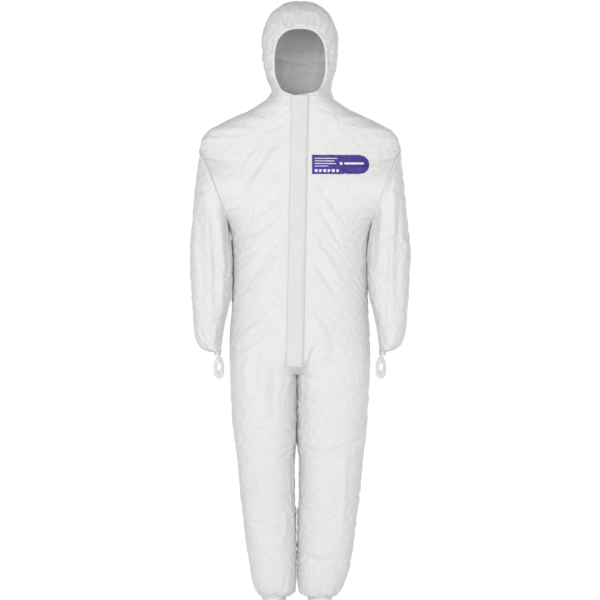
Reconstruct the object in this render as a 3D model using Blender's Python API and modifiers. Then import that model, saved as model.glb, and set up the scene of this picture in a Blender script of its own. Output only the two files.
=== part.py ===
"""Chemical protective suit: a hooded one-piece coverall, hanging as if worn.

Metres, +Z up, the front faces -Y and the wearer's left is +X.  Every sewn panel, elastic, zip piece
and label is a solid of its own.  Panels are thin shells, solidified inwards from the outer surface.
"""
import math

import bmesh
import bpy
from mathutils import Matrix, Vector

# Heights of the suit's landmarks
CROWN_Z = 1.764
HOOD_WIDE_Z = 1.636
NECK_Z = 1.480
SHOULDER_Z = 1.3221
ARMPIT_Z = 1.1129
HIP_Z = 0.760
RISE_Z = 0.715
CROTCH_Z = 0.665
HEM_Z = 0.0125

# Fabric and gaps between neighbouring solids
FABRIC = 0.002
GAP = 0.0015
ROUND = 2.2

# Front: a straight slanting zip line from the neck to the rise
FRONT_NECK = 0.100
FRONT_RISE = 0.128
LINE_NECK_X = 0.0065
LINE_RISE_X = -0.0090
ZIP_OPENING = 0.008

# Half widths and back depths of the torso: (height, value)
TORSO_HALF = ((0.665, 0.208), (0.76, 0.206), (0.90, 0.197), (1.00, 0.195), (1.1129, 0.205))
SHOULDER_HALF = ((1.3221, 0.2905), (1.348, 0.289), (1.378, 0.274), (1.414, 0.214), (1.449, 0.1355), (1.480, 0.091))
TORSO_BACK = ((0.665, 0.122), (0.76, 0.138), (0.90, 0.128), (1.00, 0.112), (1.20, 0.118), (1.38, 0.110), (1.48, 0.095))

# Armholes: a circle of the sleeve's radius, in a plane that leans outwards, so that the sleeve turns in it
ARMHOLE_R = 0.112
ARMHOLE_IN = (0.2119, ARMPIT_Z)
ARMHOLE_OUT = (0.2921, SHOULDER_Z)

# Leg sections: (height, inner edge, outer edge, front depth, back depth)
LEG = (
    (0.0125, 0.034, 0.101, 0.049, 0.049),
    (0.018, 0.014, 0.112, 0.056, 0.060),
    (0.034, 0.006, 0.124, 0.066, 0.070),
    (0.07, 0.003, 0.1385, 0.076, 0.080),
    (0.14, 0.003, 0.1535, 0.084, 0.086),
    (0.28, 0.006, 0.172, 0.093, 0.094),
    (0.42, 0.006, 0.1855, 0.103, 0.104),
    (0.60, 0.004, 0.203, 0.117, 0.118),
    (0.665, 0.003, 0.208, 0.126, 0.122),
)

# Sleeve rings: (inner x, inner z, outer x, outer z, half depth)
SLEEVE = (
    (0.2147, 1.1118, 0.2949, 1.3210, 0.112),
    (0.2095, 1.072, 0.308, 1.250, 0.103),
    (0.2055, 1.020, 0.3175, 1.140, 0.090),
    (0.204, 0.955, 0.3215, 1.030, 0.078),
    (0.206, 0.905, 0.320, 0.930, 0.073),
    (0.217, 0.848, 0.314, 0.848, 0.066),
    (0.226, 0.805, 0.309, 0.800, 0.062),
    (0.2325, 0.765, 0.300, 0.762, 0.056),
    (0.2345, 0.742, 0.285, 0.742, 0.046),
    (0.2335, 0.734, 0.2515, 0.7345, 0.039),
)
ARM_Y = -0.020
CUFF = {"x": 0.2425, "rx": 0.0085, "ry": 0.036, "top": 0.7325, "bottom": 0.7225}
LOOP = {"x": 0.2375, "y": -0.051, "top": 0.7205, "bottom": 0.659, "half": 0.0165, "hole": (0.0045, 0.016)}
ANKLE = {"x": 0.0675, "rx": 0.031, "ry": 0.046, "top": 0.011, "bottom": 0.0}
ELASTIC = 0.0022

# Hood: (height, half width, front depth, back depth) below the widest height
HOOD = (
    (1.480, 0.091, 0.100, 0.095),
    (1.505, 0.0855, 0.100, 0.094),
    (1.538, 0.098, 0.100, 0.102),
    (1.573, 0.106, 0.099, 0.115),
    (1.609, 0.1105, 0.098, 0.128),
    (1.636, 0.112, 0.098, 0.134),
)
CROWN_ROUND = 2.25
HOOD_EDGE_Z = 1.4835
SEAM_CROWN_X = 0.052
SEAM_NAPE_X = 0.036
FACE = {"z": 1.5825, "half_width": 0.078, "half_height": 0.098, "round": 2.4}
FACE_ELASTIC_R = 0.0026
FACE_EDGE = 0.0056
EAR = (0.015, 1.60)
NAPE = (0.0, 0.097, 1.4815)

# Zip, measured across the line, out from the fabric and along the line
TAPE = {"inner": 0.0034, "outer": 0.0145, "back": -0.0033, "front": -0.0027}
TEETH = {"inner": 0.0008, "outer": 0.0031, "back": -0.0040, "front": -0.0014}
ZIP_BOTTOM_Z = 0.750
ZIP_TOP_Z = 1.474
SLIDER_Z = 1.462
SLIDER = {"half_width": 0.0042, "length": 0.012, "plate": 0.0009}
PULL = {"half_width": 0.0026, "length": 0.020, "thickness": 0.0012}

# Storm flap, measured across from the zip line
FLAP_SEWN = 0.019
FLAP_FREE = -0.030
FLAP_LIFT = 0.0062
FLAP_TOP_Z = 1.4795
FLAP_BOTTOM_Z = 0.690

# Chest label: on the wearer's left breast, square end inwards, round end outwards
LABEL = {"left": 0.035, "right": 0.202, "bottom": 1.252, "top": 1.308}

WHITE = (0.80, 0.80, 0.79)
MATERIALS = {
    "fabric": (WHITE, 0.62),
    "flap_fabric": ((0.79, 0.79, 0.78), 0.60),
    "elastic": ((0.72, 0.72, 0.71), 0.85),
    "zip_tape": ((0.70, 0.70, 0.70), 0.80),
    "zip_plastic": ((0.76, 0.76, 0.76), 0.35),
    "zip_metal": ((0.62, 0.63, 0.65), 0.30),
    "adhesive": ((0.66, 0.68, 0.66), 0.25),
    "label_print": ((0.045, 0.025, 0.26), 0.45),
    "neck_label": ((0.74, 0.74, 0.73), 0.55),
}


def clear_scene():
    """Remove whatever the file opens with."""
    for obj in list(bpy.data.objects):
        bpy.data.objects.remove(obj, do_unlink=True)


def collection(name):
    """A collection in the scene, made once."""
    if name not in bpy.data.collections:
        bpy.context.scene.collection.children.link(bpy.data.collections.new(name))
    return bpy.data.collections[name]


def paint(obj, slot):
    """Give the object a Principled material of its own."""
    colour, rough = MATERIALS[slot]
    mat = bpy.data.materials.new(f"{slot}.{obj.name}")
    mat.use_nodes = True
    shader = mat.node_tree.nodes["Principled BSDF"]
    shader.inputs["Base Color"].default_value = (*colour, 1.0)
    shader.inputs["Roughness"].default_value = rough
    shader.inputs["Metallic"].default_value = 1.0 if slot == "zip_metal" else 0.0
    obj.data.materials.append(mat)


def lerp(a, b, t):
    """Straight line between two values."""
    return a + (b - a) * t


def column(table, z, index=1):
    """Read one column of a table of sections at a height."""
    if z <= table[0][0]:
        return table[0][index]
    for low, high in zip(table, table[1:]):
        if z <= high[0]:
            return lerp(low[index], high[index], (z - low[0]) / (high[0] - low[0]))
    return table[-1][index]


def arc(value, power=ROUND):
    """Signed power that turns a cosine or a sine into a superellipse's."""
    return math.copysign(abs(value) ** (2 / power), value)


def shoulder_of(x, power=ROUND):
    """Height of a unit superellipse above a point of its width."""
    return max(0.0, 1.0 - abs(x) ** power) ** (1 / power)


# ---------------------------------------------------------------- body and leg surface


def line_x(z):
    """Where the centre line of the suit lies across the front."""
    return lerp(LINE_RISE_X, LINE_NECK_X, max(0.0, (z - RISE_Z) / (NECK_Z - RISE_Z)))


def front_depth(z):
    """Depth of the straight front line."""
    return lerp(FRONT_RISE, FRONT_NECK, (z - RISE_Z) / (NECK_Z - RISE_Z))


def outer_x(z):
    """Side seam, armhole edge or shoulder line at a height."""
    if z <= ARMPIT_Z:
        return column(TORSO_HALF, z)
    if z < SHOULDER_Z:
        t = (z - ARMPIT_Z) / (SHOULDER_Z - ARMPIT_Z)
        return lerp(ARMHOLE_IN[0], ARMHOLE_OUT[0], t) - GAP
    return column(SHOULDER_HALF, z)


def outer_depth(z):
    """How far the armhole edge stands off the middle of the side."""
    t = (z - ARMPIT_Z) / (SHOULDER_Z - ARMPIT_Z)
    return ARMHOLE_R * math.sqrt(max(0.0, 1.0 - (2 * t - 1) ** 2))


def zip_gap(z):
    """Half the gap between the front panels: open along the zip, closed below it."""
    return lerp(0.5 * GAP, ZIP_OPENING, min(1.0, max(0.0, (z - 0.70) / 0.02)))


def torso_point(side, face, u, z):
    """A quarter of the torso, from the centre line (u = 0) to the side (u = 1)."""
    inner_x = line_x(z) + side * (zip_gap(z) if face < 0 else 0.0)
    depth = front_depth(z) if face < 0 else column(TORSO_BACK, z)
    across = arc(math.sin(u * math.pi / 2))
    deep = arc(math.cos(u * math.pi / 2))
    edge = outer_depth(z)
    return (
        lerp(inner_x, side * outer_x(z), across),
        face * lerp(edge, depth, deep),
        z,
    )


def leg_point(side, face, u, z):
    """Half of a leg, from the inseam (u = 0) to the side seam (u = 1)."""
    inner = line_x(0) + side * column(LEG, z, 1)
    outer = side * column(LEG, z, 2) + line_x(0) * max(0.0, 1.0 - z / 0.1)
    depth = column(LEG, z, 3 if face < 0 else 4)
    turn = u * math.pi
    across = 0.5 - 0.5 * arc(math.cos(turn))
    return (lerp(inner, outer, across), face * depth * arc(math.sin(turn)), z)


def body_point(side, face, u, z):
    """The suit's surface, from a leg's hem to the neck; the crotch curves under below the rise."""
    if z >= RISE_Z:
        return torso_point(side, face, u, z)
    t = min(1.0, (RISE_Z - z) / (RISE_Z - CROTCH_Z))
    under = 1.0 - math.sqrt(1.0 - t * t)
    above = torso_point(side, face, u, max(z, CROTCH_Z))
    below = leg_point(side, face, u, z)
    return tuple(lerp(a, b, under) for a, b in zip(above, below))


def groin_z(u):
    """The groin line, from the crotch up to the hip."""
    return lerp(CROTCH_Z, HIP_Z, u)


def front_y(side, x, z):
    """The torso's front surface at a point of its width."""
    inner = line_x(z) + side * ZIP_OPENING
    across = (x - inner) / (side * outer_x(z) - inner)
    return -lerp(outer_depth(z), front_depth(z), shoulder_of(across))


# ---------------------------------------------------------------- solids from surfaces


def sheet_mesh(name, columns, rows, point, wrap=False):
    """A grid of cells mapped onto a surface; wrap joins its two sides into a tube."""
    bm = bmesh.new()
    bmesh.ops.create_grid(bm, x_segments=columns, y_segments=rows, size=0.5)
    for vert in bm.verts:
        vert.co = Vector(point(vert.co.x + 0.5, vert.co.y + 0.5))
    if wrap:
        bmesh.ops.remove_doubles(bm, verts=bm.verts, dist=1e-6)
    mesh = bpy.data.meshes.new(name)
    bm.to_mesh(mesh)
    bm.free()
    return mesh


def face_out(mesh, out):
    """Turn the sheet over if its faces look the wrong way."""
    total = sum(face.normal.dot(Vector(out(face.center))) * face.area for face in mesh.polygons)
    if total < 0:
        mesh.flip_normals()


def shell(name, slot, mesh, out, pivot=(0, 0, 0), thickness=FABRIC, grow=-1.0):
    """Thicken a sheet into one closed solid whose origin is at its body's pivot."""
    face_out(mesh, out)
    mesh.transform(Matrix.Translation(-Vector(pivot)))
    obj = bpy.data.objects.new(name, mesh)
    obj.location = pivot
    collection("protective_suit").objects.link(obj)
    solid = obj.modifiers.new("Solidify", "SOLIDIFY")
    solid.thickness = thickness
    solid.offset = grow
    paint(obj, slot)
    return obj


def from_axis(x, y):
    """Outward direction from a vertical axis."""
    return lambda centre: (centre.x - x, centre.y - y, 0.0)


def spread(stops, t):
    """Walk through a list of stops as t runs from 0 to 1."""
    place = t * (len(stops) - 1)
    index = min(int(place), len(stops) - 2)
    return lerp(stops[index], stops[index + 1], place - index)


# ---------------------------------------------------------------- torso panels

TORSO_ROWS = (
    *(0.83, 0.92, 1.00, 1.06),
    *(ARMPIT_Z, 1.124, 1.145, 1.175, 1.2175, 1.26, 1.29, 1.311, SHOULDER_Z),
    *(1.348, 1.378, 1.414, 1.449, NECK_Z),
)


def torso_z(u, v):
    """Rows of a torso panel: a slanting first part above the groin, level rows above it."""
    low = groin_z(u) + GAP
    rows = [low, lerp(low, 0.83, 0.22), lerp(low, 0.83, 0.45), lerp(low, 0.83, 0.72), *TORSO_ROWS]
    return spread(rows, v)


def front_panel(name, side):
    """One front panel, from the shoulder seam and the neck down to the groin."""
    rows = len(TORSO_ROWS) + 3
    mesh = sheet_mesh(name, 8, rows, lambda u, v: body_point(side, -1, u, torso_z(u, v)))
    return shell(name, "fabric", mesh, lambda c: (c.x * 0.5, -1.0, 0.0))


def back_panel():
    """The back, from side to side in one piece."""
    rows = len(TORSO_ROWS) + 3

    def point(u, v):
        side = 1 if u >= 0.5 else -1
        across = abs(2 * u - 1)
        x, y, z = body_point(side, 1, across * 0.985, torso_z(across, v))
        return (x, y + GAP, z)

    mesh = sheet_mesh("back_panel", 16, rows, point)
    return shell("back_panel", "fabric", mesh, lambda c: (c.x * 0.5, 1.0, 0.0))


def waist_elastic():
    """A flat elastic sewn inside the back at the waist."""
    inset = FABRIC + 0.001

    def point(u, v):
        x = lerp(-0.145, 0.145, u)
        depth = column(TORSO_BACK, 1.0) * shoulder_of(x / outer_x(1.0))
        return (x, depth - inset, lerp(0.985, 1.003, v))

    mesh = sheet_mesh("waist_elastic", 14, 1, point)
    return shell("waist_elastic", "elastic", mesh, lambda c: (0, 1, 0), thickness=0.0012)


def neck_label():
    """A small blank size label sewn inside the nape."""

    def point(u, v):
        z = lerp(1.435, 1.468, v)
        depth = column(TORSO_BACK, z) - FABRIC - 0.0022
        return (lerp(-0.018, 0.018, u) + line_x(z), depth, z)

    mesh = sheet_mesh("neck_label", 2, 2, point)
    return shell("neck_label", "neck_label", mesh, lambda c: (0, 1, 0), thickness=0.0008)


def chest_label():
    """The printed panel: straight on the zip side, a half round on the sleeve side."""
    middle = 0.5 * (LABEL["bottom"] + LABEL["top"])
    radius = 0.5 * (LABEL["top"] - LABEL["bottom"])

    def point(u, v):
        across = 2 * v - 1
        end = LABEL["right"] - radius + radius * shoulder_of(0.98 * across, 2)
        x = lerp(LABEL["left"], end, u)
        z = middle + radius * across
        return (x, front_y(1, x, z) - 0.0006, z)

    mesh = sheet_mesh("chest_label", 8, 10, point)
    return shell("chest_label", "label_print", mesh, lambda c: (0, -1, 0), thickness=0.0006, grow=1.0)


# ---------------------------------------------------------------- sleeves


def armhole_pivot(side):
    """Centre of the armhole."""
    return (
        side * 0.5 * (ARMHOLE_IN[0] + ARMHOLE_OUT[0]),
        0.0,
        0.5 * (ARMHOLE_IN[1] + ARMHOLE_OUT[1]),
    )


def sleeve_point(side, face, u, v):
    """Half of a sleeve, from its inner seam (u = 0) to its outer seam (u = 1)."""
    ring = [spread([row[i] for row in SLEEVE], v) for i in range(5)]
    turn = math.pi * lerp(0.012, 0.988, u)
    below = min(1.0, 3 * v)
    power = lerp(2.0, ROUND, below)
    across = 0.5 - 0.5 * arc(math.cos(turn), power)
    return (
        side * lerp(ring[0], ring[2], across),
        ARM_Y * below + face * ring[4] * arc(math.sin(turn), power),
        lerp(ring[1], ring[3], across),
    )


def sleeve_half(name, side, face):
    """The front or the back of one sleeve."""
    mesh = sheet_mesh(name, 8, 2 * (len(SLEEVE) - 1), lambda u, v: sleeve_point(side, face, u, v))
    return shell(name, "fabric", mesh, from_axis(side * 0.262, ARM_Y), armhole_pivot(side))


def elastic_ring(name, x, y, size, pivot):
    """A short oval band of elastic around an opening."""

    def point(u, v):
        turn = 2 * math.pi * u
        return (
            x + size["rx"] * math.cos(turn),
            y + size["ry"] * math.sin(turn),
            lerp(size["bottom"], size["top"], v),
        )

    mesh = sheet_mesh(name, 28, 2, point, wrap=True)
    return shell(name, "elastic", mesh, from_axis(x, y), pivot, thickness=ELASTIC)


def thumb_loop(name, side):
    """A flat fabric loop hanging from the cuff, narrow at the top, with a thumb hole."""
    middle = 0.5 * (LOOP["top"] + LOOP["bottom"])
    half_height = 0.5 * (LOOP["top"] - LOOP["bottom"])

    def point(u, v):
        turn = 2 * math.pi * u
        up = math.cos(turn)
        taper = 1.0 - 0.55 * max(0.0, up) ** 2
        outer = (LOOP["half"] * math.sin(turn) * taper, half_height * up)
        hole = (LOOP["hole"][0] * math.sin(turn), LOOP["hole"][1] * up)
        return (
            side * LOOP["x"] + lerp(outer[0], hole[0], v),
            LOOP["y"],
            middle + lerp(outer[1], hole[1], v),
        )

    mesh = sheet_mesh(name, 28, 2, point, wrap=True)
    pivot = (side * LOOP["x"], LOOP["y"], LOOP["top"])
    return shell(name, "elastic", mesh, lambda c: (0, -1, 0), pivot, thickness=0.0024, grow=0.0)


# ---------------------------------------------------------------- legs

LEG_ROWS = (0.56, 0.46, 0.36, 0.26, 0.17, 0.10, 0.065, 0.038, 0.024, 0.016, HEM_Z)


def hip_pivot(side):
    """The fold at the front of the groin that the leg swings about."""
    return (side * 0.105, -FRONT_RISE, HIP_Z)


def leg_z(u, v):
    """Rows of a leg panel: a slanting first part below the groin, level rows below it."""
    high = groin_z(u) - GAP
    rows = [high, lerp(high, 0.56, 0.3), lerp(high, 0.56, 0.65), *LEG_ROWS]
    return spread(rows, v)


def leg_half(name, side, face):
    """The front or the back of one leg."""

    def point(u, v):
        x, y, z = body_point(side, face, lerp(0.006, 0.994, u), leg_z(u, v))
        return (x, y + (face * 0.5 * GAP), z)

    mesh = sheet_mesh(name, 9, len(LEG_ROWS) + 2, point)
    return shell(name, "fabric", mesh, from_axis(side * 0.095, 0.0), hip_pivot(side))


# ---------------------------------------------------------------- hood


def hood_section(z):
    """Half width, front depth and back depth of the hood at a height."""
    if z < HOOD_WIDE_Z:
        return tuple(column(HOOD, z, i) for i in (1, 2, 3))
    shrink = shoulder_of((z - HOOD_WIDE_Z) / (CROWN_Z - HOOD_WIDE_Z), CROWN_ROUND)
    return tuple(value * shrink for value in HOOD[-1][1:])


def hood_y(x, z, face):
    """The hood's surface in front of or behind a point of its width."""
    half, front, back = hood_section(z)
    return face * (front if face < 0 else back) * shoulder_of(min(1.0, abs(x) / max(half, 1e-6)))


def hood_x(y, z):
    """The hood's half width at a depth and a height."""
    half, front, back = hood_section(z)
    depth = front if y < 0 else back
    return half * shoulder_of(min(1.0, abs(y) / max(depth, 1e-6)))


def crown_z(x):
    """Height of the top of the hood above a point of its width."""
    return HOOD_WIDE_Z + (CROWN_Z - HOOD_WIDE_Z) * shoulder_of(x / HOOD[-1][1], CROWN_ROUND)


def face_x(z, grow=0.0):
    """Half width of the face opening at a height."""
    up = (z - FACE["z"]) / (FACE["half_height"] + grow)
    return (FACE["half_width"] + grow) * shoulder_of(min(1.0, abs(up)), FACE["round"])


def face_top_z(x, grow):
    """Top edge of the face opening above a point of its width."""
    across = abs(x) / (FACE["half_width"] + grow)
    return FACE["z"] + (FACE["half_height"] + grow) * shoulder_of(min(1.0, across), FACE["round"])


def seam_x(z):
    """Half width of the centre panel where it runs down the back."""
    t = min(1.0, max(0.0, (z - NECK_Z) / (HOOD_WIDE_Z - NECK_Z)))
    return lerp(SEAM_NAPE_X, SEAM_CROWN_X, t)


def side_outline(t):
    """Outline of a hood side: neck edge, back seam, crown seam and face edge, in that order."""
    seam = SEAM_CROWN_X + GAP
    top = crown_z(seam)
    corner = face_top_z(seam, FACE_EDGE)
    leg, part = min(int(t * 4), 3), t * 4 - min(int(t * 4), 3)
    if leg == 0:
        chin_x = face_x(HOOD_EDGE_Z, FACE_EDGE)
        start = hood_y(chin_x, HOOD_EDGE_Z, -1)
        end = hood_y(seam_x(HOOD_EDGE_Z) + GAP, HOOD_EDGE_Z, 1)
        return lerp(start, end, part), HOOD_EDGE_Z
    if leg == 1:
        z = lerp(HOOD_EDGE_Z, HOOD_WIDE_Z, part)
        return hood_y(seam_x(z) + GAP, z, 1), z
    if leg == 2:
        turn = math.pi * part
        face = 1 if part < 0.5 else -1
        low = HOOD_WIDE_Z if part < 0.5 else corner
        z = lerp(low, top, math.sin(turn))
        return hood_y(seam, z, face), z
    z = lerp(corner, HOOD_EDGE_Z, part)
    return hood_y(face_x(z, FACE_EDGE), z, -1), z


def hood_side(name, side):
    """One side of the hood, spread around the ear."""

    def point(u, v):
        edge = side_outline(u)
        y, z = lerp(EAR[0], edge[0], v), lerp(EAR[1], edge[1], v)
        return (side * hood_x(y, z), y, z)

    mesh = sheet_mesh(name, 36, 4, point, wrap=True)
    return shell(name, "fabric", mesh, lambda c: (c.x, c.y * 0.3, 0.0), NAPE)


def hood_centre():
    """The centre strip, from the forehead over the crown to the nape."""

    def point(u, v):
        side = 2 * u - 1
        x = side * SEAM_CROWN_X
        if v < 0.36:
            low = face_top_z(x, FACE_EDGE)
            z = lerp(low, crown_z(x), math.sin(v / 0.36 * math.pi / 2))
            return (x, hood_y(x, z, -1), z)
        drop = 1.0 - math.cos((v - 0.36) / 0.64 * math.pi / 2)
        z = lerp(crown_z(x), HOOD_EDGE_Z, drop)
        x = side * seam_x(z)
        return (x, hood_y(x, z, 1), z)

    mesh = sheet_mesh("hood_centre_panel", 6, 25, point)
    return shell("hood_centre_panel", "fabric", mesh, lambda c: (0, c.y, c.z - 1.6), NAPE)


def face_elastic():
    """The elastic edge of the face opening, a thin cord that follows the hood's surface."""
    count = 44
    curve = bpy.data.curves.new("hood_face_elastic", "CURVE")
    curve.dimensions = "3D"
    curve.bevel_depth = FACE_ELASTIC_R
    curve.bevel_resolution = 2
    spline = curve.splines.new("POLY")
    spline.points.add(count - 1)
    spline.use_cyclic_u = True
    for index, item in enumerate(spline.points):
        turn = 2 * math.pi * index / count
        z = FACE["z"] + FACE["half_height"] * arc(math.cos(turn), FACE["round"])
        x = FACE["half_width"] * arc(math.sin(turn), FACE["round"])
        y = hood_y(x, max(z, NECK_Z), -1)
        item.co = (x - NAPE[0], y - NAPE[1], z - NAPE[2], 1.0)
    obj = bpy.data.objects.new("hood_face_elastic", curve)
    obj.location = NAPE
    collection("protective_suit").objects.link(obj)
    paint(obj, "elastic")
    return obj


# ---------------------------------------------------------------- zip and flap


def line_frame(z):
    """Axes of the zip line at a height: X across, Y into the suit, Z up along the line."""
    low = Vector((line_x(RISE_Z), -front_depth(RISE_Z), RISE_Z))
    high = Vector((line_x(NECK_Z), -front_depth(NECK_Z), NECK_Z))
    up = (high - low).normalized()
    inward = (Vector((0, 1, 0)) - up * up.y).normalized()
    across = inward.cross(up)
    origin = lerp(low, high, (z - RISE_Z) / (NECK_Z - RISE_Z))
    turn = Matrix((across, inward, up)).transposed().to_4x4()
    return Matrix.Translation(origin) @ turn


def block(name, across, out, along, frame, where="protective_suit"):
    """A box given by its extents across, out of and along the zip line."""
    bm = bmesh.new()
    bmesh.ops.create_cube(bm, size=1.0)
    spans = (across, (-out[1], -out[0]), along)
    for vert in bm.verts:
        vert.co = Vector(lerp(span[0], span[1], value + 0.5) for span, value in zip(spans, vert.co))
    mesh = bpy.data.meshes.new(name)
    bm.to_mesh(mesh)
    bm.free()
    obj = bpy.data.objects.new(name, mesh)
    obj.matrix_world = frame
    collection(where).objects.link(obj)
    return obj


def combine(obj, tool, operation):
    """Add or cut away a hidden block."""
    tool.hide_render = True
    tool.display_type = "WIRE"
    step = obj.modifiers.new(tool.name, "BOOLEAN")
    step.operation = operation
    step.solver = "EXACT"
    step.object = tool


def zip_strip(name, side, spec, slot, top):
    """A strip running beside the zip line: a tape or a row of closed teeth."""
    frame = line_frame(ZIP_BOTTOM_Z)
    across = sorted((side * spec["inner"], side * spec["outer"]))
    length = (line_frame(top).translation - frame.translation).length
    obj = block(name, across, (spec["back"], spec["front"]), (0.0, length), frame)
    paint(obj, slot)


def zip_stop(name, across, z, length):
    """A small moulded stop on the teeth."""
    obj = block(name, across, (TEETH["back"], TEETH["front"]), (0.0, length), line_frame(z))
    paint(obj, "zip_plastic")


def zip_slider():
    """Slider: two plates joined by a thin neck between the teeth, with an arch for the pull."""
    frame = line_frame(SLIDER_Z)
    half, length, plate = SLIDER["half_width"], SLIDER["length"], SLIDER["plate"]
    front = (-0.0010, -0.0010 + plate)
    back = (-0.0045 - plate, -0.0045)
    along = (-0.5 * length, 0.5 * length)
    body = block("zip_slider_body", (-half, half), front, along, frame)
    extras = {
        "slider_back": ((-half, half), back, along),
        "slider_neck": ((-0.0005, 0.0005), (-0.0050, -0.0005), (0.0015, 0.0050)),
        "slider_arch": ((-0.0008, 0.0008), (-0.0003, 0.0026), (-0.0036, 0.0036)),
    }
    for name, (across, out, run) in extras.items():
        combine(body, block(name, across, out, run, frame, "tools"), "UNION")
    under_arch = block("slider_window", (-0.002, 0.002), (-0.0001, 0.0018), (-0.0027, 0.0027), frame, "tools")
    combine(body, under_arch, "DIFFERENCE")
    paint(body, "zip_metal")


def zip_pull():
    """Pull tab: a flat tab whose crossbar lies under the slider's arch."""
    frame = line_frame(SLIDER_Z) @ Matrix.Translation((0.0, -0.0009, 0.0))
    half, length, thick = PULL["half_width"], PULL["length"], 0.5 * PULL["thickness"]
    tab = block("zip_pull_tab", (-half, half), (-thick, thick), (-length, thick), frame)
    hole = block("pull_hole", (-0.0014, 0.0014), (-0.002, 0.002), (-0.0055, -thick), frame, "tools")
    combine(tab, hole, "DIFFERENCE")
    paint(tab, "zip_metal")


def flap_profile(t):
    """Storm flap across its width: sewn down at one edge, bridging the zip, low at the free edge."""
    stops = (FLAP_SEWN, FLAP_SEWN - 0.003, FLAP_SEWN - 0.008, -0.008, FLAP_FREE + 0.013, FLAP_FREE)
    lifts = (0.0012, 0.0030, FLAP_LIFT, FLAP_LIFT, 0.0040, 0.0026)
    return spread(stops, t), spread(lifts, t)


def line_point(across, out, z):
    """A point beside the zip line and out from the fabric."""
    return line_frame(z) @ Vector((across, -out, 0.0))


def storm_flap():
    """The flap that covers the zip, hinged on its sewn edge."""
    pivot = line_point(FLAP_SEWN, 0.0012, 1.09)

    def point(u, v):
        across, out = flap_profile(u)
        return line_point(across, out, lerp(FLAP_BOTTOM_Z, FLAP_TOP_Z, v))

    mesh = sheet_mesh("storm_flap", 5, 8, point)
    shell("storm_flap", "flap_fabric", mesh, lambda c: (0, -1, 0), pivot, thickness=0.0016, grow=1.0)

    def strip(u, v):
        across = lerp(FLAP_FREE + 0.0015, FLAP_FREE + 0.0115, u)
        out = lerp(0.0026, 0.0040, (across - FLAP_FREE) / 0.013) - 0.0004
        return line_point(across, out, lerp(FLAP_BOTTOM_Z + 0.01, FLAP_TOP_Z - 0.01, v))

    mesh = sheet_mesh("flap_adhesive_strip", 1, 8, strip)
    shell("flap_adhesive_strip", "adhesive", mesh, lambda c: (0, -1, 0), pivot, thickness=0.0006)


def build_zip():
    """Tapes, teeth, stops, slider and pull."""
    for name, side in (("right", -1), ("left", 1)):
        zip_strip(f"zip_tape_{name}", side, TAPE, "zip_tape", ZIP_TOP_Z + 0.004)
        zip_strip(f"zip_teeth_{name}", side, TEETH, "zip_plastic", ZIP_TOP_Z)
        across = sorted((side * TEETH["inner"], side * TEETH["outer"]))
        zip_stop(f"zip_top_stop_{name}", across, ZIP_TOP_Z + 0.0006, 0.0028)
    zip_stop("zip_bottom_stop", (-TEETH["outer"], TEETH["outer"]), ZIP_BOTTOM_Z - 0.0040, 0.0032)
    zip_slider()
    zip_pull()


def build():
    """The whole suit."""
    clear_scene()
    for name, side in (("right", -1), ("left", 1)):
        front_panel(f"front_panel_{name}", side)
        hood_side(f"hood_side_{name}", side)
        for half, face in (("front", -1), ("back", 1)):
            sleeve_half(f"sleeve_{name}_{half}", side, face)
            leg_half(f"leg_{name}_{half}", side, face)
        elastic_ring(f"cuff_elastic_{name}", side * CUFF["x"], ARM_Y, CUFF, armhole_pivot(side))
        thumb_loop(f"thumb_loop_{name}", side)
        ankle_x = line_x(0) + side * ANKLE["x"]
        elastic_ring(f"ankle_elastic_{name}", ankle_x, 0.0, ANKLE, hip_pivot(side))
    back_panel()
    hood_centre()
    face_elastic()
    waist_elastic()
    neck_label()
    chest_label()
    storm_flap()
    build_zip()


build()
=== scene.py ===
"""Looks of the chemical protective suit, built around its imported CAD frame.

Metres, +Z up.  The front faces -Y and the wearer's left is +X.  Every panel of the suit is a grid on a
smooth surface.  The grids are sewn into one cloth, simulated with the extra fabric that the real cut
has, refined, and handed to the bodies of the frame as separate panels with their seams.
"""
import math

import bpy
import numpy as np
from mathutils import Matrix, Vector
from mathutils.bvhtree import BVHTree


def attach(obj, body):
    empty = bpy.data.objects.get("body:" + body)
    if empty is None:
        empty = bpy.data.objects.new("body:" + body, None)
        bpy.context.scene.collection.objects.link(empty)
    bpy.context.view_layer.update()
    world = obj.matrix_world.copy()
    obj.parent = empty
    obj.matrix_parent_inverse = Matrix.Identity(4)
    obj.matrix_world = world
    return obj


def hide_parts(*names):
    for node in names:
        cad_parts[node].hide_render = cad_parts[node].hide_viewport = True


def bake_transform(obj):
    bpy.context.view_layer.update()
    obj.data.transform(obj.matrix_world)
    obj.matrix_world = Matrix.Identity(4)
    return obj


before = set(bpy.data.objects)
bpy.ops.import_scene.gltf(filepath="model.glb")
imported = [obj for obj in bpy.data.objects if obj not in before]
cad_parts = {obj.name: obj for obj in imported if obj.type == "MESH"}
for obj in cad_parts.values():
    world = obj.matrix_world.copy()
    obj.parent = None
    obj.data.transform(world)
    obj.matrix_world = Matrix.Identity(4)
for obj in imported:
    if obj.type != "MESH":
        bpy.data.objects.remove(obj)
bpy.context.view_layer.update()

SIDES = (("right", -1), ("left", 1))
FACES = (("front", -1), ("back", 1))
ROUND = 2.2

# Heights of the suit's landmarks
CROWN_Z = 1.764
HOOD_WIDE_Z = 1.636
NECK_Z = 1.480
SHOULDER_Z = 1.3221
ARMPIT_Z = 1.1129
RISE_Z = 0.715
CROTCH_Z = 0.665
HEM_Z = 0.0125
HIP_Z = 0.800
KNEE_RISE_Z = 0.520

WAIST_Z = 0.994
ZIP_BOTTOM_Z = 0.750
ZIP_TOP_Z = 1.474

# Front line, from the rise up to the neck: depths, places across, half the gap at the zip
FRONT_NECK = 0.100
FRONT_RISE = 0.128
LINE_NECK_X = 0.0065
LINE_RISE_X = -0.0090
ZIP_OPENING = 0.008

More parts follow.
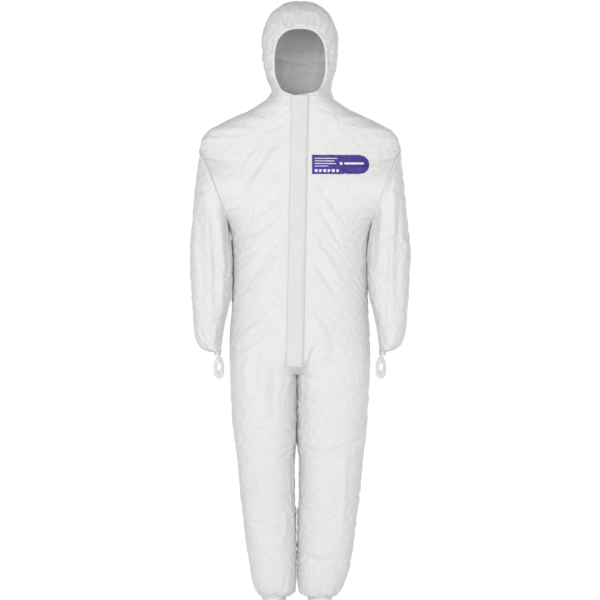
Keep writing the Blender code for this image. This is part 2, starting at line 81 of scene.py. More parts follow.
# Half widths and back depths of the torso, and the armhole: (height, value)
TORSO_HALF = ((0.665, 0.208), (0.76, 0.206), (0.90, 0.1985), (1.00, 0.1982), (ARMPIT_Z, 0.205))
SHOULDER_HALF = (
    (SHOULDER_Z, 0.2905), (1.348, 0.289), (1.378, 0.274), (1.414, 0.214), (1.449, 0.1355), (NECK_Z, 0.091),
)
TORSO_BACK = (
    (0.665, 0.122), (0.76, 0.138), (0.90, 0.128), (1.00, 0.112), (1.20, 0.118), (1.38, 0.110), (1.48, 0.095),
)
ARMHOLE_R = 0.112
ARMHOLE_IN_X = 0.2119
ARMHOLE_OUT_X = 0.2921

# Leg sections: (height, inner edge, outer edge, front depth, back depth)
LEG = (
    (0.0125, 0.034, 0.101, 0.049, 0.049),
    (0.018, 0.014, 0.112, 0.056, 0.060),
    (0.034, 0.0045, 0.124, 0.066, 0.070),
    (0.07, 0.0016, 0.1385, 0.076, 0.080),
    (0.14, 0.0016, 0.1535, 0.084, 0.086),
    (0.26, 0.0026, 0.169, 0.092, 0.093),
    (0.31, 0.0070, 0.175, 0.096, 0.097),
    (0.42, 0.0070, 0.1855, 0.103, 0.104),
    (0.47, 0.0022, 0.1915, 0.107, 0.108),
    (0.60, 0.0012, 0.203, 0.117, 0.118),
    (0.665, 0.000, 0.208, 0.126, 0.122),
)

# Sleeve rings: (place, inner x, inner z, outer x, outer z, half depth)
SLEEVE = (
    (0, 0.2123, 1.1127, 0.2925, 1.3219, 0.112),
    (1, 0.2065, 1.072, 0.308, 1.250, 0.103),
    (2, 0.2012, 1.020, 0.3175, 1.140, 0.090),
    (3, 0.1998, 0.955, 0.3215, 1.030, 0.078),
    (4, 0.2040, 0.905, 0.320, 0.930, 0.073),
    (5, 0.217, 0.848, 0.314, 0.848, 0.066),
    (6, 0.226, 0.805, 0.309, 0.800, 0.062),
    (7, 0.2325, 0.765, 0.300, 0.762, 0.056),
    (8, 0.2345, 0.742, 0.285, 0.742, 0.046),
    (9, 0.2335, 0.734, 0.2515, 0.7345, 0.039),
)
ARM_Y = -0.020

# Hood: (height, half width, front depth, back depth) below the widest height
HOOD = (
    (1.480, 0.091, 0.100, 0.095),
    (1.505, 0.0855, 0.100, 0.094),
    (1.538, 0.098, 0.100, 0.102),
    (1.573, 0.106, 0.099, 0.115),
    (1.609, 0.1105, 0.098, 0.128),
    (1.636, 0.112, 0.098, 0.134),
)
CROWN_ROUND = 2.25
SEAM_CROWN_X = 0.052
SEAM_NAPE_X = 0.036
CROWN_PLACE = 0.34
FACE = {"z": 1.5812, "half_width": 0.078, "half_height": 0.0990, "round": 2.6}


# ---- numbers


def lerp(a, b, t):
    """Straight line between two values."""
    return a + (b - a) * t


def ease(t):
    """Smooth step from 0 to 1."""
    t = np.clip(t, 0.0, 1.0)
    return t * t * (3.0 - 2.0 * t)


def bell(value, centre, width):
    """A bump of height 1 around a centre."""
    return np.exp(-(((value - centre) / width) ** 2))


def smooth(table, place, index=1):
    """One column of a table on a monotone cubic through its rows."""
    rows = np.array(table, float)
    x, y = rows[:, 0], rows[:, index]
    h = np.diff(x)
    slope = np.diff(y) / h
    tangent = np.zeros(len(x))
    tangent[0], tangent[-1] = slope[0], slope[-1]
    for i in range(1, len(x) - 1):
        if slope[i - 1] * slope[i] > 0:
            wa, wb = 2 * h[i] + h[i - 1], h[i] + 2 * h[i - 1]
            tangent[i] = (wa + wb) / (wa / slope[i - 1] + wb / slope[i])
    place = np.clip(place, x[0], x[-1])
    i = np.clip(np.searchsorted(x, place, side="right") - 1, 0, len(x) - 2)
    t = (place - x[i]) / h[i]
    return (
        y[i] * (1 + 2 * t) * (1 - t) ** 2
        + y[i + 1] * t * t * (3 - 2 * t)
        + h[i] * t * (1 - t) * (tangent[i] * (1 - t) - tangent[i + 1] * t)
    )


def arc(value, power=ROUND):
    """Signed power that turns a cosine or a sine into a superellipse's."""
    return np.sign(value) * np.abs(value) ** (2 / power)


def shoulder_of(x, power=ROUND):
    """Height of a unit superellipse above a point of its width."""
    return np.maximum(0.0, 1.0 - np.minimum(1.0, np.abs(x)) ** power) ** (1 / power)


class Noise:
    """Smooth noise from -1 to 1 on a repeating lattice, the same in every run."""

    SIZE = 64

    def __init__(self, seed):
        self.lattice = np.random.default_rng(seed).uniform(-1, 1, (self.SIZE,) * 3)

    def __call__(self, x, y, z=0.0):
        x, y, z = np.broadcast_arrays(x, y, z)
        cell = [np.floor(c).astype(int) for c in (x, y, z)]
        part = [ease(c - i) for c, i in zip((x, y, z), cell)]
        total = np.zeros(x.shape)
        for corner in range(8):
            bits = [(corner >> k) & 1 for k in range(3)]
            at = tuple((i + b) % self.SIZE for i, b in zip(cell, bits))
            weight = np.ones(x.shape)
            for b, p in zip(bits, part):
                weight = weight * (p if b else 1 - p)
            total += self.lattice[at] * weight
        return total


# ---- the suit's surface


def line_x(z):
    """Where the centre line of the suit lies across the front."""
    return lerp(LINE_RISE_X, LINE_NECK_X, np.maximum(0.0, (z - RISE_Z) / (NECK_Z - RISE_Z)))


def front_depth(z):
    """Depth of the straight front line."""
    return lerp(FRONT_RISE, FRONT_NECK, (z - RISE_Z) / (NECK_Z - RISE_Z))


def outer_x(z):
    """Side seam or shoulder line at a height outside the armhole."""
    into = ease((z - ARMPIT_Z + 0.05) / 0.05)
    low = lerp(smooth(TORSO_HALF, z), ARMHOLE_IN_X, into)
    return np.where(z <= ARMPIT_Z, low, smooth(SHOULDER_HALF, z))


def side_edge(row):
    """Where a torso row ends, as half width, depth and height: the side seam, armhole or shoulder seam."""
    share = (row - ARMPIT_Z) / (SHOULDER_Z - ARMPIT_Z)
    inside = (share > 0) & (share < 1)
    turn = np.clip(share, 0.0, 1.0) * math.pi
    up = 0.5 - 0.5 * np.cos(turn)
    x = np.where(inside, lerp(ARMHOLE_IN_X, ARMHOLE_OUT_X, up), outer_x(row))
    z = np.where(inside, lerp(ARMPIT_Z, SHOULDER_Z, up), row)
    return x, ARMHOLE_R * np.sin(turn), z


def zip_gap(z):
    """Half the gap between the front panels: open along the zip, closed below it."""
    return ZIP_OPENING * ease((z - 0.695) / 0.03)


def torso_point(side, face, u, row):
    """A quarter of the torso, from the centre line (u = 0) to the side (u = 1); row is its height there."""
    edge_x, edge_y, edge_z = side_edge(row)
    across = arc(np.sin(u * math.pi / 2))
    deep = arc(np.cos(u * math.pi / 2))
    z = lerp(row, edge_z, across**3)
    inner = line_x(z) + side * (zip_gap(z) if face < 0 else 0.0)
    depth = front_depth(z) if face < 0 else smooth(TORSO_BACK, z)
    reach = (1.0 - deep) ** (1.0 + 5.0 * (1.0 - edge_y / ARMHOLE_R) ** 1.3)
    x = lerp(inner, side * edge_x, across)
    return np.stack([x, face * (depth * deep + edge_y * reach), z], -1)


def leg_point(side, face, u, z):
    """Half of a leg, from the inseam (u = 0) to the side seam (u = 1)."""
    inner = LINE_RISE_X + side * smooth(LEG, z, 1)
    outer = side * smooth(LEG, z, 2) + LINE_RISE_X * np.maximum(0.0, 1.0 - z / 0.1)
    depth = smooth(LEG, z, 3 if face < 0 else 4)
    across = 0.5 - 0.5 * arc(np.cos(u * math.pi))
    return np.stack([lerp(inner, outer, across), face * depth * arc(np.sin(u * math.pi)), z], -1)


def body_point(side, face, u, z):
    """The suit's surface, from a leg's hem to the neck; the crotch curves under below the rise."""
    t = np.clip((RISE_Z - z) / (RISE_Z - CROTCH_Z), 0.0, 1.0)
    under = 1.0 - np.sqrt(1.0 - t * t)
    slow = ease((HIP_Z - z) / (HIP_Z - KNEE_RISE_Z))
    share = lerp(under, slow, ease(u / 0.24))[..., None]
    above = torso_point(side, face, u, z)
    below = leg_point(side, face, u, np.minimum(z, CROTCH_Z))
    below[..., 2] = z
    return lerp(above, below, share)


def sleeve_point(side, face, u, v):
    """Half of a sleeve, from its inner seam (u = 0) to its outer seam (u = 1)."""
    place = v * (len(SLEEVE) - 1)
    inner_x, inner_z, far_x, far_z, depth = (smooth(SLEEVE, place, i) for i in range(1, 6))
    below = np.minimum(1.0, place / 3)
    power = lerp(2.0, ROUND, below)
    across = 0.5 - 0.5 * arc(np.cos(u * math.pi), power)
    y = ARM_Y * below + face * depth * arc(np.sin(u * math.pi), power)
    return np.stack([side * lerp(inner_x, far_x, across), y, lerp(inner_z, far_z, across)], -1)


def hood_section(z):
    """Half width, front depth and back depth of the hood at a height."""
    up = (z - HOOD_WIDE_Z) / (CROWN_Z - HOOD_WIDE_Z)
    shrink = np.where(up < 0.0, 1.0, shoulder_of(up, CROWN_ROUND))
    return tuple(np.maximum(smooth(HOOD, z, i) * shrink, 1e-5) for i in (1, 2, 3))


def hood_ring(turn, z):
    """A point of the hood's ring, from the front (turn = 0) to the back (turn = pi)."""
    half, front, back = hood_section(z)
    deep = arc(np.cos(turn))
    free = np.stack([half * arc(np.sin(turn)), -deep * np.where(deep > 0, front, back), z], -1)
    centre = line_x(NECK_Z) * (1.0 - ease((z - NECK_Z) / 0.05)) * np.abs(np.cos(turn)) ** 2
    free[..., 0] += centre
    return free


def turn_at(x, half):
    """The ring's angle at a point of its half width."""
    return np.arcsin(np.clip(x / half, 0.0, 1.0) ** (ROUND / 2))


def face_x(z):
    """Half width of the face opening at a height."""
    up = (z - FACE["z"]) / FACE["half_height"]
    return FACE["half_width"] * shoulder_of(up, FACE["round"])


def face_top_z(x):
    """Top edge of the face opening above a point of its width."""
    return FACE["z"] + FACE["half_height"] * shoulder_of(x / FACE["half_width"], FACE["round"])


def seam_x(z):
    """Half width of the hood's centre panel where it runs down the back."""
    t = np.clip((z - NECK_Z) / (HOOD_WIDE_Z - NECK_Z), 0.0, 1.0)
    return lerp(SEAM_NAPE_X, SEAM_CROWN_X, t)


def crown_z(x):
    """Height of the top of the hood above a point of its width."""
    return HOOD_WIDE_Z + (CROWN_Z - HOOD_WIDE_Z) * shoulder_of(x / HOOD[-1][1], CROWN_ROUND)


def hood_y(x, z, face):
    """The hood's surface in front of or behind a point of its width."""
    half, front, back = hood_section(z)
    return face * np.where(face < 0, front, back) * shoulder_of(x / half)


def hood_side_point(side, u, v):
    """One side of the hood: u from the face edge or front seam round to the back seam, v up from the neck."""
    top = crown_z(SEAM_CROWN_X)
    low = lerp(NECK_Z, HOOD_WIDE_Z, np.minimum(1.0, v / 0.5))
    high = lerp(HOOD_WIDE_Z, top, np.sin(np.clip(v / 0.5 - 1.0, 0.0, 1.0) * math.pi / 2))
    z = np.where(v < 0.5, low, high)
    half = hood_section(z)[0]
    above = z > face_top_z(SEAM_CROWN_X)
    front_x = np.where(above, SEAM_CROWN_X, np.minimum(face_x(z), half))
    point = hood_ring(lerp(turn_at(front_x, half), math.pi - turn_at(seam_x(z), half), u), z)
    point[..., 0] *= side
    return point


def hood_centre_point(u, v):
    """The centre strip: u across, v from the forehead over the crown to the nape."""
    x = (2 * u - 1) * SEAM_CROWN_X
    front_z = lerp(face_top_z(x), crown_z(x), np.sin(np.minimum(1.0, v / CROWN_PLACE) * math.pi / 2))
    drop = 1.0 - np.cos(np.clip((v - CROWN_PLACE) / (1 - CROWN_PLACE), 0, 1) * math.pi / 2)
    back_z = lerp(crown_z(x), NECK_Z, drop)
    back_x = (2 * u - 1) * seam_x(back_z)
    front = np.stack([x, hood_y(x, front_z, -1), front_z], -1)
    back = np.stack([back_x, hood_y(back_x, back_z, 1), back_z], -1)
    return np.where((v < CROWN_PLACE)[..., None], front, back)


# ---- panels


def rows_between(stops):
    """Heights with a spacing of their own in each stretch: ((start, end, spacing), ...)."""
    parts = [np.linspace(a, b, max(1, round((b - a) / step)), endpoint=False) for a, b, step in stops]
    return np.concatenate([*parts, [stops[-1][1]]])


BODY_ROWS = rows_between((
    (HEM_Z, 0.02, 0.0019), (0.02, 0.07, 0.005), (0.07, 0.64, 0.009), (0.64, 0.73, 0.0036),
    (0.73, NECK_Z, 0.0085),
))
BODY_COLUMNS = np.linspace(0, 1, 43)
SLEEVE_ROWS = np.linspace(0, 1, 73)
SLEEVE_COLUMNS = np.linspace(0, 1, 33)
HOOD_SIDE = (np.linspace(0, 1, 37), np.linspace(0, 1, 41))
HOOD_CENTRE_COLUMNS = np.linspace(0, 1, 19)


def body_panel(side, face):
    """Points and hold of one quarter of the body."""
    u, z = np.meshgrid(BODY_COLUMNS, BODY_ROWS)
    hold = np.zeros(u.shape)
    armhole = (z > ARMPIT_Z - 0.004) & (z < SHOULDER_Z + 0.004)
    hold[armhole & (u > 0.999)] = 1.0
    hold = np.maximum(hold, ease((z - NECK_Z + 0.035) / 0.034))
    hold[z < HEM_Z + 0.001] = 1.0
    if face < 0:
        near = 1.0 - ease((u * 0.33 - 0.012) / 0.03)
        hold = np.maximum(hold, near * (z > 0.69))
    return body_point(side, face, u, z), hold


def sleeve_panel(side, face):
    """Points and hold of one half of a sleeve."""
    u, v = np.meshgrid(SLEEVE_COLUMNS, SLEEVE_ROWS)
    hold = np.where((v < 0.001) | (v > 0.999), 1.0, 0.0)
    return sleeve_point(side, face, u, v), hold


def hood_side_panel(side):
    """Points and hold of one side of the hood."""
    u, v = np.meshgrid(*HOOD_SIDE)
    point = hood_side_point(side, u, v)
    edge = (u < 0.001) & (point[..., 2] < face_top_z(SEAM_CROWN_X) + 0.002)
    near_neck = 1.0 - ease((point[..., 2] - NECK_Z - 0.001) / 0.03)
    return point, np.maximum(near_neck, edge)


def hood_centre_panel(right, left):
    """Points and hold of the hood's centre strip, whose edges take the side panels' own seam points."""
    above = right[:, 0, 2] > face_top_z(SEAM_CROWN_X) + 1e-4
    seams = [np.concatenate([side[above, 0], side[::-1, -1][1:]]) for side in (right, left)]
    choice = np.linspace(0, 1, 900)
    edge = hood_centre_point(np.zeros(900), choice)
    gap = np.linalg.norm(seams[0][:, None] - edge[None], axis=-1)
    rows = np.concatenate([[0.0], np.maximum.accumulate(choice[gap.argmin(1)])])
    u, v = np.meshgrid(HOOD_CENTRE_COLUMNS, rows)
    point = hood_centre_point(u, v)
    for column, seam in ((0, seams[0]), (-1, seams[1])):
        shift = seam - point[1:, column]
        share = 1.0 - u[1:] if column == 0 else u[1:]
        point[1:] += share[..., None] * shift[:, None]
    near_neck = (1.0 - ease((point[..., 2] - NECK_Z - 0.001) / 0.03)) * (v > 0.5)
    return point, np.maximum(near_neck, v < 0.001)


def all_panels():
    """Every simulated panel: name to (points, hold)."""
    made = {}
    for name, side in SIDES:
        for half, face in FACES:
            made[f"body_{half}_{name}"] = body_panel(side, face)
            made[f"sleeve_{half}_{name}"] = sleeve_panel(side, face)
        made[f"hood_side_{name}"] = hood_side_panel(side)
    made["hood_centre"] = hood_centre_panel(made["hood_side_right"][0], made["hood_side_left"][0])
    return made


def cells(shape, start=0):
    """Quads of a grid of points."""
    rows, columns = shape
    index = start + np.arange(rows * columns).reshape(rows, columns)
    return np.stack([index[:-1, :-1], index[:-1, 1:], index[1:, 1:], index[1:, :-1]], -1).reshape(-1, 4)


def sew(panels):
    """The panels as one cloth: points, faces, hold, and each panel's place in it."""
    points = np.concatenate([p.reshape(-1, 3) for p, _ in panels.values()])
    hold = np.concatenate([h.ravel() for _, h in panels.values()])
    key = np.round(points / 2e-5).astype(np.int64)
    _, first, place = np.unique(key, axis=0, return_index=True, return_inverse=True)
    place = place.ravel()
    faces, start, places = [], 0, {}
    for name, (p, _) in panels.items():
        count = p.shape[0] * p.shape[1]
        faces.append(place[cells(p.shape[:2], start)])
        places[name] = place[start : start + count].reshape(p.shape[:2])
        start += count
    strongest = np.zeros(len(first))
    np.maximum.at(strongest, place, hold)
    clean = []
    for face in np.concatenate(faces).tolist():
        once = list(dict.fromkeys(face))
        if len(once) > 2:
            clean.append(once)
    return points[first], clean, strongest, places


# ---- cloth

SIM_FRAMES = 24
SIM_CAP = 0.014
SPARE = 0.015
HOLD_LEAST = 0.30
BRIDGE_PASSES = 55
SHOULDER_SWELL = 0.006
NECK_PINCH = 0.012
BROAD = Noise(11)
FINE = Noise(12)
MASK = Noise(13)
HOOD_MIDDLE = np.array([0.0, 0.01, 1.60])
CLOTH_SETTINGS = dict(
    quality=3, mass=0.10, tension_stiffness=15, compression_stiffness=15, shear_stiffness=8,
    bending_stiffness=0.20, tension_damping=0.5, compression_damping=0.5, shear_damping=0.5,
    air_damping=1.0, vertex_group_mass="hold", pin_stiffness=0.6, shrink_min=-SPARE,
)

# Folds laid on the front, in millimetres: height, width, then x and z of each point of the line
FRONT_FOLDS = (
    (5, 13, -18, 1392, -70, 1315, -122, 1245, -165, 1185),
    (-4.5, 12, -40, 1395, -95, 1325, -150, 1240, -180, 1180),
    (4, 12, -75, 1390, -125, 1320, -165, 1260),
    (-4, 10, -20, 1330, -70, 1260, -110, 1200),
    (4.5, 16, -30, 1195, -75, 1150, -130, 1110),
    (-3.5, 12, -50, 1150, -110, 1095, -175, 1070),
    (5.5, 20, -35, 1060, -70, 985, -120, 900),
    (-3.5, 16, -80, 1050, -120, 980, -160, 930),
    (6, 17, -60, 880, -110, 815, -165, 775, -196, 760),
    (-5, 14, -85, 815, -140, 765, -185, 735),
    (5, 13, -150, 745, -160, 670, -158, 600),
    (-4, 12, -125, 760, -132, 680, -130, 600),
    (4.5, 13, -100, 740, -104, 650, -100, 560),
    (-4, 12, -75, 720, -74, 630, -78, 540),
    (4.5, 18, -115, 460, -110, 360, -100, 250),
    (4, 12, 30, 1215, 75, 1165, 120, 1100),
    (-3.5, 10, 40, 1170, 85, 1110, 115, 1050),
    (4.5, 14, 30, 1080, 75, 1010, 125, 930),
    (-3.5, 11, 25, 1030, 65, 965, 105, 900),
    (6, 15, 25, 850, 60, 800, 78, 750, 66, 705),
    (-9.5, 7.5, 50, 755, 36, 728, 24, 696, 14, 668),
    (-4, 12, 20, 660, 70, 638, 130, 655),
    (4, 12, 15, 610, 70, 590, 135, 612),
    (-4, 11, 15, 535, 60, 518, 120, 530),
    (4, 11, 15, 470, 65, 452, 125, 470),
    (5, 10, 130, 470, 128, 330, 122, 190),
    (3.5, 10, 15, 150, 55, 142, 110, 155),
    (-3.5, 10, 20, 125, 60, 117, 105, 128),
)

# Folds down the front of the sleeves
SLEEVE_FOLDS = (
    (-6, 8.5, -302, 1208, -291, 1016, -282, 825),
    (6, 8.5, -279, 1252, -267, 1060, -261, 854),
    (-6.5, 8, -258, 1178, -246, 1001, -246, 825),
    (5.5, 8, -237, 1134, -226, 987, -231, 839),
    (-6, 8, 261, 1220, 252, 1040, 246, 798),
    (6, 8.5, 279, 1267, 270, 1060, 264, 854),
    (-6, 8.5, 297, 1208, 288, 1031, 282, 825),
    (-5, 8, 229, 1193, 220, 1075, 217, 996),
)

# Folds at the sides of the face opening and gathers above the forehead
HOOD_FOLDS = (
    (-6.5, 5.5, 92, 1693, 84, 1668, 75, 1645),
    (4.5, 6, 99, 1680, 90, 1650, 83, 1628),
    (-5, 5.5, 94, 1640, 87, 1602, 86, 1570),
    (-4.5, 5.5, -88, 1660, -83, 1630, -85, 1598),
    (-5, 5, -43, 1716, -40, 1682),
    (-4.5, 4.5, -24, 1722, -23, 1686),
    (-5.5, 4.5, -6, 1728, -7, 1686),
    (-5, 4.5, 11, 1724, 10, 1686),
    (-5.5, 4.5, 28, 1728, 25, 1686),
    (-4.5, 5, 47, 1718, 42, 1680),
)


def outward(name, point):
    """Unit normals of a panel's grid of points that face away from the wearer."""
    normal = np.cross(np.gradient(point, axis=1), np.gradient(point, axis=0))
    normal /= np.maximum(np.linalg.norm(normal, axis=-1, keepdims=True), 1e-12)
    if name.startswith("sleeve"):
        middle = point.mean((0, 1)) * [1, 0, 1] + [0, ARM_Y, 0]
    elif name.startswith("hood"):
        middle = HOOD_MIDDLE
    else:
        in_leg = 1.0 - ease((point[..., 2:] - CROTCH_Z) / 0.05)
        leg_x = 0.1 if name.endswith("left") else -0.1
        middle = np.concatenate([in_leg * leg_x, 0 * in_leg, point[..., 2:]], -1)
    return normal * np.sign(np.sum(np.sum(normal * (point - middle), -1)))


def banded(noise, point, along, across, pitch, stretch):
    """Noise drawn out along a direction, with crests sharper than its hollows."""
    along, across = np.array(along, float), np.array(across, float)
    a = point @ (along / np.linalg.norm(along)) / (pitch * stretch)
    b = point @ (across / np.linalg.norm(across)) / pitch
    deep = point[..., 1] / (pitch * 2)
    b = b + 0.9 * MASK(a * 1.7, b * 0.45, deep + 3)
    crest = 1.0 - 2.0 * np.abs(noise(a, b, deep))
    here = ease(0.5 + 0.9 * MASK(a * 0.8 + 20, b * 0.30, deep * 0.7))
    return crest * here


def along_line(point, line):
    """Distance across a line in the x and z plane, and how far along it is, from 0 to 1."""
    best = np.full(point.shape[:-1], 9.0)
    place = np.zeros(point.shape[:-1])
    flat = point[..., [0, 2]]
    count = len(line) - 1
    for i in range(count):
        a, b = line[i], line[i + 1]
        t = np.clip((flat - a) @ (b - a) / ((b - a) @ (b - a)), 0.0, 1.0)
        away = np.linalg.norm(flat - a - t[..., None] * (b - a), axis=-1)
        closer = away < best
        place = np.where(closer, (i + t) / count, place)
        best = np.minimum(best, away)
    return best, place


def laid_folds(point, folds):
    """Heights of the folds laid along those lines, in metres."""
    total = np.zeros(point.shape[:-1])
    for height, width, *line in folds:
        away, place = along_line(point, np.reshape(line, (-1, 2)) / 1000)
        along = np.sin(math.pi * np.clip(place, 0.04, 0.96)) ** 0.7
        total += height / 1000 * np.exp(-((away / (width / 1000)) ** 2)) * along
    return total


def body_folds(point, side, face):
    """Heights of the crumples that the body starts with, in metres."""
    z = point[..., 2]
    in_leg = 1.0 - ease((z - 0.62) / 0.12)
    if side > 0:
        leg = 0.0020 * banded(BROAD, point, (1, 0, 0.15), (0, 0, 1), 0.040, 2.6)
        leg += 0.0009 * banded(FINE, point, (1, 0, -0.25), (0, 0, 1), 0.017, 3.0)
    else:
        leg = 0.0022 * banded(BROAD, point, (0, 0, 1), (1, 0.6, 0), 0.050, 4.0)
        leg += 0.0006 * banded(FINE, point, (1, 0, 0.3), (0, 0, 1), 0.020, 2.5)
    fan = (side * 0.65, 0, -0.76) if face < 0 else (side * 0.35, 0, -1)
    over = (fan[2], 0, -fan[0])
    chest = 0.0013 * banded(BROAD, point, fan, over, 0.055, 3.0)
    chest += 0.0006 * banded(FINE, point, fan, over, 0.021, 3.5)
    ankle = 0.0030 * FINE(point[..., 0] * 120, point[..., 1] * 120, z * 12) * bell(z, HEM_Z, 0.05)
    waist = 0.0026 * FINE(point[..., 0] * 95, 0.5, z * 9) * bell(z, WAIST_Z, 0.05) * (face > 0)
    return lerp(chest, leg, in_leg) + ankle + waist + (laid_folds(point, FRONT_FOLDS) if face < 0 else 0.0)


def sleeve_folds(point):
    """Heights of the long folds that run down a sleeve and of the gathers at its cuff, in metres."""
    tall = 0.0052 * banded(BROAD, point, (0, 0, 1), (1, 1.2, 0), 0.036, 6.0)
    fine = 0.0015 * banded(FINE, point, (0.2, 0, 1), (1, -1, 0), 0.016, 4.0)
    cuff = 0.0034 * FINE(point[..., 0] * 60, point[..., 1] * 110, point[..., 2] * 14)
    return tall + fine + cuff * ease((0.84 - point[..., 2]) / 0.08)


def hood_folds(point):
    """Heights of the folds that run back from the face opening, in metres."""
    away = np.stack([0 * point[..., 0], point[..., 1] + 0.1, point[..., 2] - FACE["z"]], -1)
    turn = np.arctan2(away[..., 2], away[..., 1] + 0.02)
    reach = np.linalg.norm(away, axis=-1)
    broad = 1.0 - 2.0 * np.abs(BROAD(turn * 6, reach * 8, point[..., 0] * 12))
    across = point[..., 0] / FACE["half_width"]
    up = (point[..., 2] - FACE["z"]) / FACE["half_height"]
    off = np.maximum(0.0, np.hypot(across, up) - 1.0) * FACE["half_width"]
    round_face = np.arctan2(up, across)
    front = ease((-point[..., 1] - 0.015) / 0.035)
    gather = 0.0090 * FINE(round_face * 11, off * 5, 2.5) * np.exp(-off / 0.045) * front
    gather = gather + laid_folds(point, HOOD_FOLDS) * front
    return gather + 0.0020 * broad + 0.0006 * FINE(turn * 15, reach * 14, point[..., 0] * 30)


def folds_of(name, point):
    """Starting height of the folds at each point of a panel, in metres."""
    if name.startswith("body"):
        return body_folds(point, 1 if "left" in name else -1, -1 if "front" in name else 1)
    if name.startswith("sleeve"):
        return sleeve_folds(point) + (laid_folds(point, SLEEVE_FOLDS) if "front" in name else 0.0)
    return hood_folds(point)


def edge_ends(faces):
    """Both ends of each edge of the faces, every edge once."""
    pairs = np.array([pair for face in faces for pair in zip(face, face[1:] + face[:1])])
    return np.unique(np.sort(pairs, axis=1), axis=0)


def neck_ties(points, places):
    """Where each point of the hood's bottom edge lies on the torso's top edge, and which rows meet there."""
    rows = [places[f"body_{half}_{name}"][-1] for half, _ in FACES for name, _ in SIDES]
    hood = [places["hood_side_right"], places["hood_side_left"], places["hood_centre"][::-1]]
    low, next_row = (np.concatenate([place[k] for place in hood]) for k in (0, 1))
    first, second = (np.concatenate([row[k : len(row) - 1 + k] for row in rows]) for k in (0, 1))
    rim = np.setdiff1d(low, np.concatenate(rows))
    start, way = points[first], points[second] - points[first]
    away = points[rim][:, None] - start[None]
    share = np.clip((away * way).sum(-1) / np.maximum((way * way).sum(-1), 1e-12), 0.0, 1.0)
    gap = np.linalg.norm(away - share[..., None] * way, axis=-1)
    best = gap.argmin(1)
    top = np.unique(np.concatenate(rows))
    near = np.linalg.norm(points[top][:, None] - points[next_row][None], axis=-1).argmin(1)
    meet = np.stack([top, next_row[near]], -1)
    return (rim, first[best], second[best], share[np.arange(len(rim)), best][:, None]), meet


def relaxed(points, ends, amount, ties):
    """The points drawn towards their neighbours' middle where the cloth bridges a corner."""
    joined = np.bincount(ends.ravel(), minlength=len(points))[:, None]
    rim, first, second, share = ties
    here, there = ends.T
    for _ in range(BRIDGE_PASSES):
        one, other = (
            np.stack([np.bincount(a, points[b, k], len(points)) for k in range(3)], -1)
            for a, b in ((here, there), (there, here))
        )
        points = points + amount[:, None] * ((one + other) / joined - points)
        points[rim] = lerp(points[first], points[second], share)
    return points


def bridging(points, hold):
    """How much the cloth bridges: round the neck, at the armholes and below the hips."""
    x, y, z = points.T
    near_neck = np.abs(z - NECK_Z) < 0.001
    fixed = (hold > 0.999) & ~near_neck
    front = np.where(y < 0, ease((np.abs(x - LINE_NECK_X) - np.nan_to_num(face_x(z)) - 0.004) / 0.03), 1.0)
    neck = bell(z, NECK_Z - 0.004, 0.034) * front
    tall = ease((z - ARMPIT_Z + 0.06) / 0.05) * ease((SHOULDER_Z - 0.01 - z) / 0.06)
    arm = 0.8 * ease((np.abs(x) - 0.09) / 0.08) * tall
    cap = ease((np.abs(x) - 0.12) / 0.06) * bell(z, SHOULDER_Z + 0.004, 0.016)
    hips = ease((np.abs(x) - 0.03) / 0.06) * bell(z, CROTCH_Z, 0.09)
    return 0.7 * np.clip(np.maximum.reduce([neck, arm, cap, hips]), 0.0, 1.0) * ~fixed


def filled_out(points):
    """The points with the shoulders' corners pushed out and the neck drawn in on the wearer's right."""
    x, _, z = points.T
    out = SHOULDER_SWELL * bell(z, SHOULDER_Z + 0.010, 0.027) * ease((np.abs(x) - 0.24) / 0.045)
    neck = NECK_PINCH * bell(z, NECK_Z + 0.012, 0.024) * ease((-x - 0.056) / 0.034)
    return points + np.stack([np.sign(x) * out + neck, 0 * x, 0 * x], -1)


def linked(name, data):
    """An object of that data, in the scene."""
    obj = bpy.data.objects.new(name, data)
    bpy.context.scene.collection.objects.link(obj)
    return obj


def mesh_of(name, point, faces):
    """A smooth mesh of those points and faces."""
    mesh = bpy.data.meshes.new(name)
    mesh.from_pydata(point.reshape(-1, 3).tolist(), [], faces)
    mesh.shade_smooth()
    return mesh


def with_folds(panels, points, faces, hold, places):
    """The sewn points once the cloth bridges its corners and carries its folds."""
    ties, meet = neck_ties(points, places)
    bridged = relaxed(points, np.concatenate([edge_ends(faces), meet]), bridging(points, hold), ties)
    bridged = filled_out(bridged)
    start, count = np.zeros_like(points), np.zeros(len(points))
    for name, (p, h) in panels.items():
        base = bridged[places[name]]
        raised = base + outward(name, base) * (folds_of(name, p) * (1 - h))[..., None]
        np.add.at(start, places[name].ravel(), raised.reshape(-1, 3))
        np.add.at(count, places[name].ravel(), 1)
    return start / count[:, None]


def settled(points, start, faces, hold):
    """The sewn points after the simulation, none of them further than the cap from the suit's surface."""
    cloth = linked("cloth", mesh_of("cloth", start, faces))
    group = cloth.vertex_groups.new(name="hold")
    levels = np.round(lerp(HOLD_LEAST, 1.0, hold), 2)
    for level in np.unique(levels):
        group.add(np.nonzero(levels == level)[0].tolist(), float(level), "REPLACE")
    modifier = cloth.modifiers.new("Cloth", "CLOTH")
    for key, value in CLOTH_SETTINGS.items():
        setattr(modifier.settings, key, value)
    modifier.settings.effector_weights.gravity = 0.2
    modifier.collision_settings.use_collision = False
    modifier.collision_settings.use_self_collision = False
    modifier.point_cache.frame_end = SIM_FRAMES
    scene = bpy.context.scene
    for number in range(1, SIM_FRAMES + 1):
        scene.frame_set(number)
    mesh = cloth.evaluated_get(bpy.context.evaluated_depsgraph_get()).data
    moved = np.zeros(len(points) * 3)
    mesh.vertices.foreach_get("co", moved)
    scene.frame_set(1)
    bpy.data.objects.remove(cloth)
    step = moved.reshape(-1, 3) - points
    size = np.linalg.norm(step, axis=1, keepdims=True)
    return points + step * (SIM_CAP * np.tanh(size / SIM_CAP) / np.maximum(size, 1e-9))


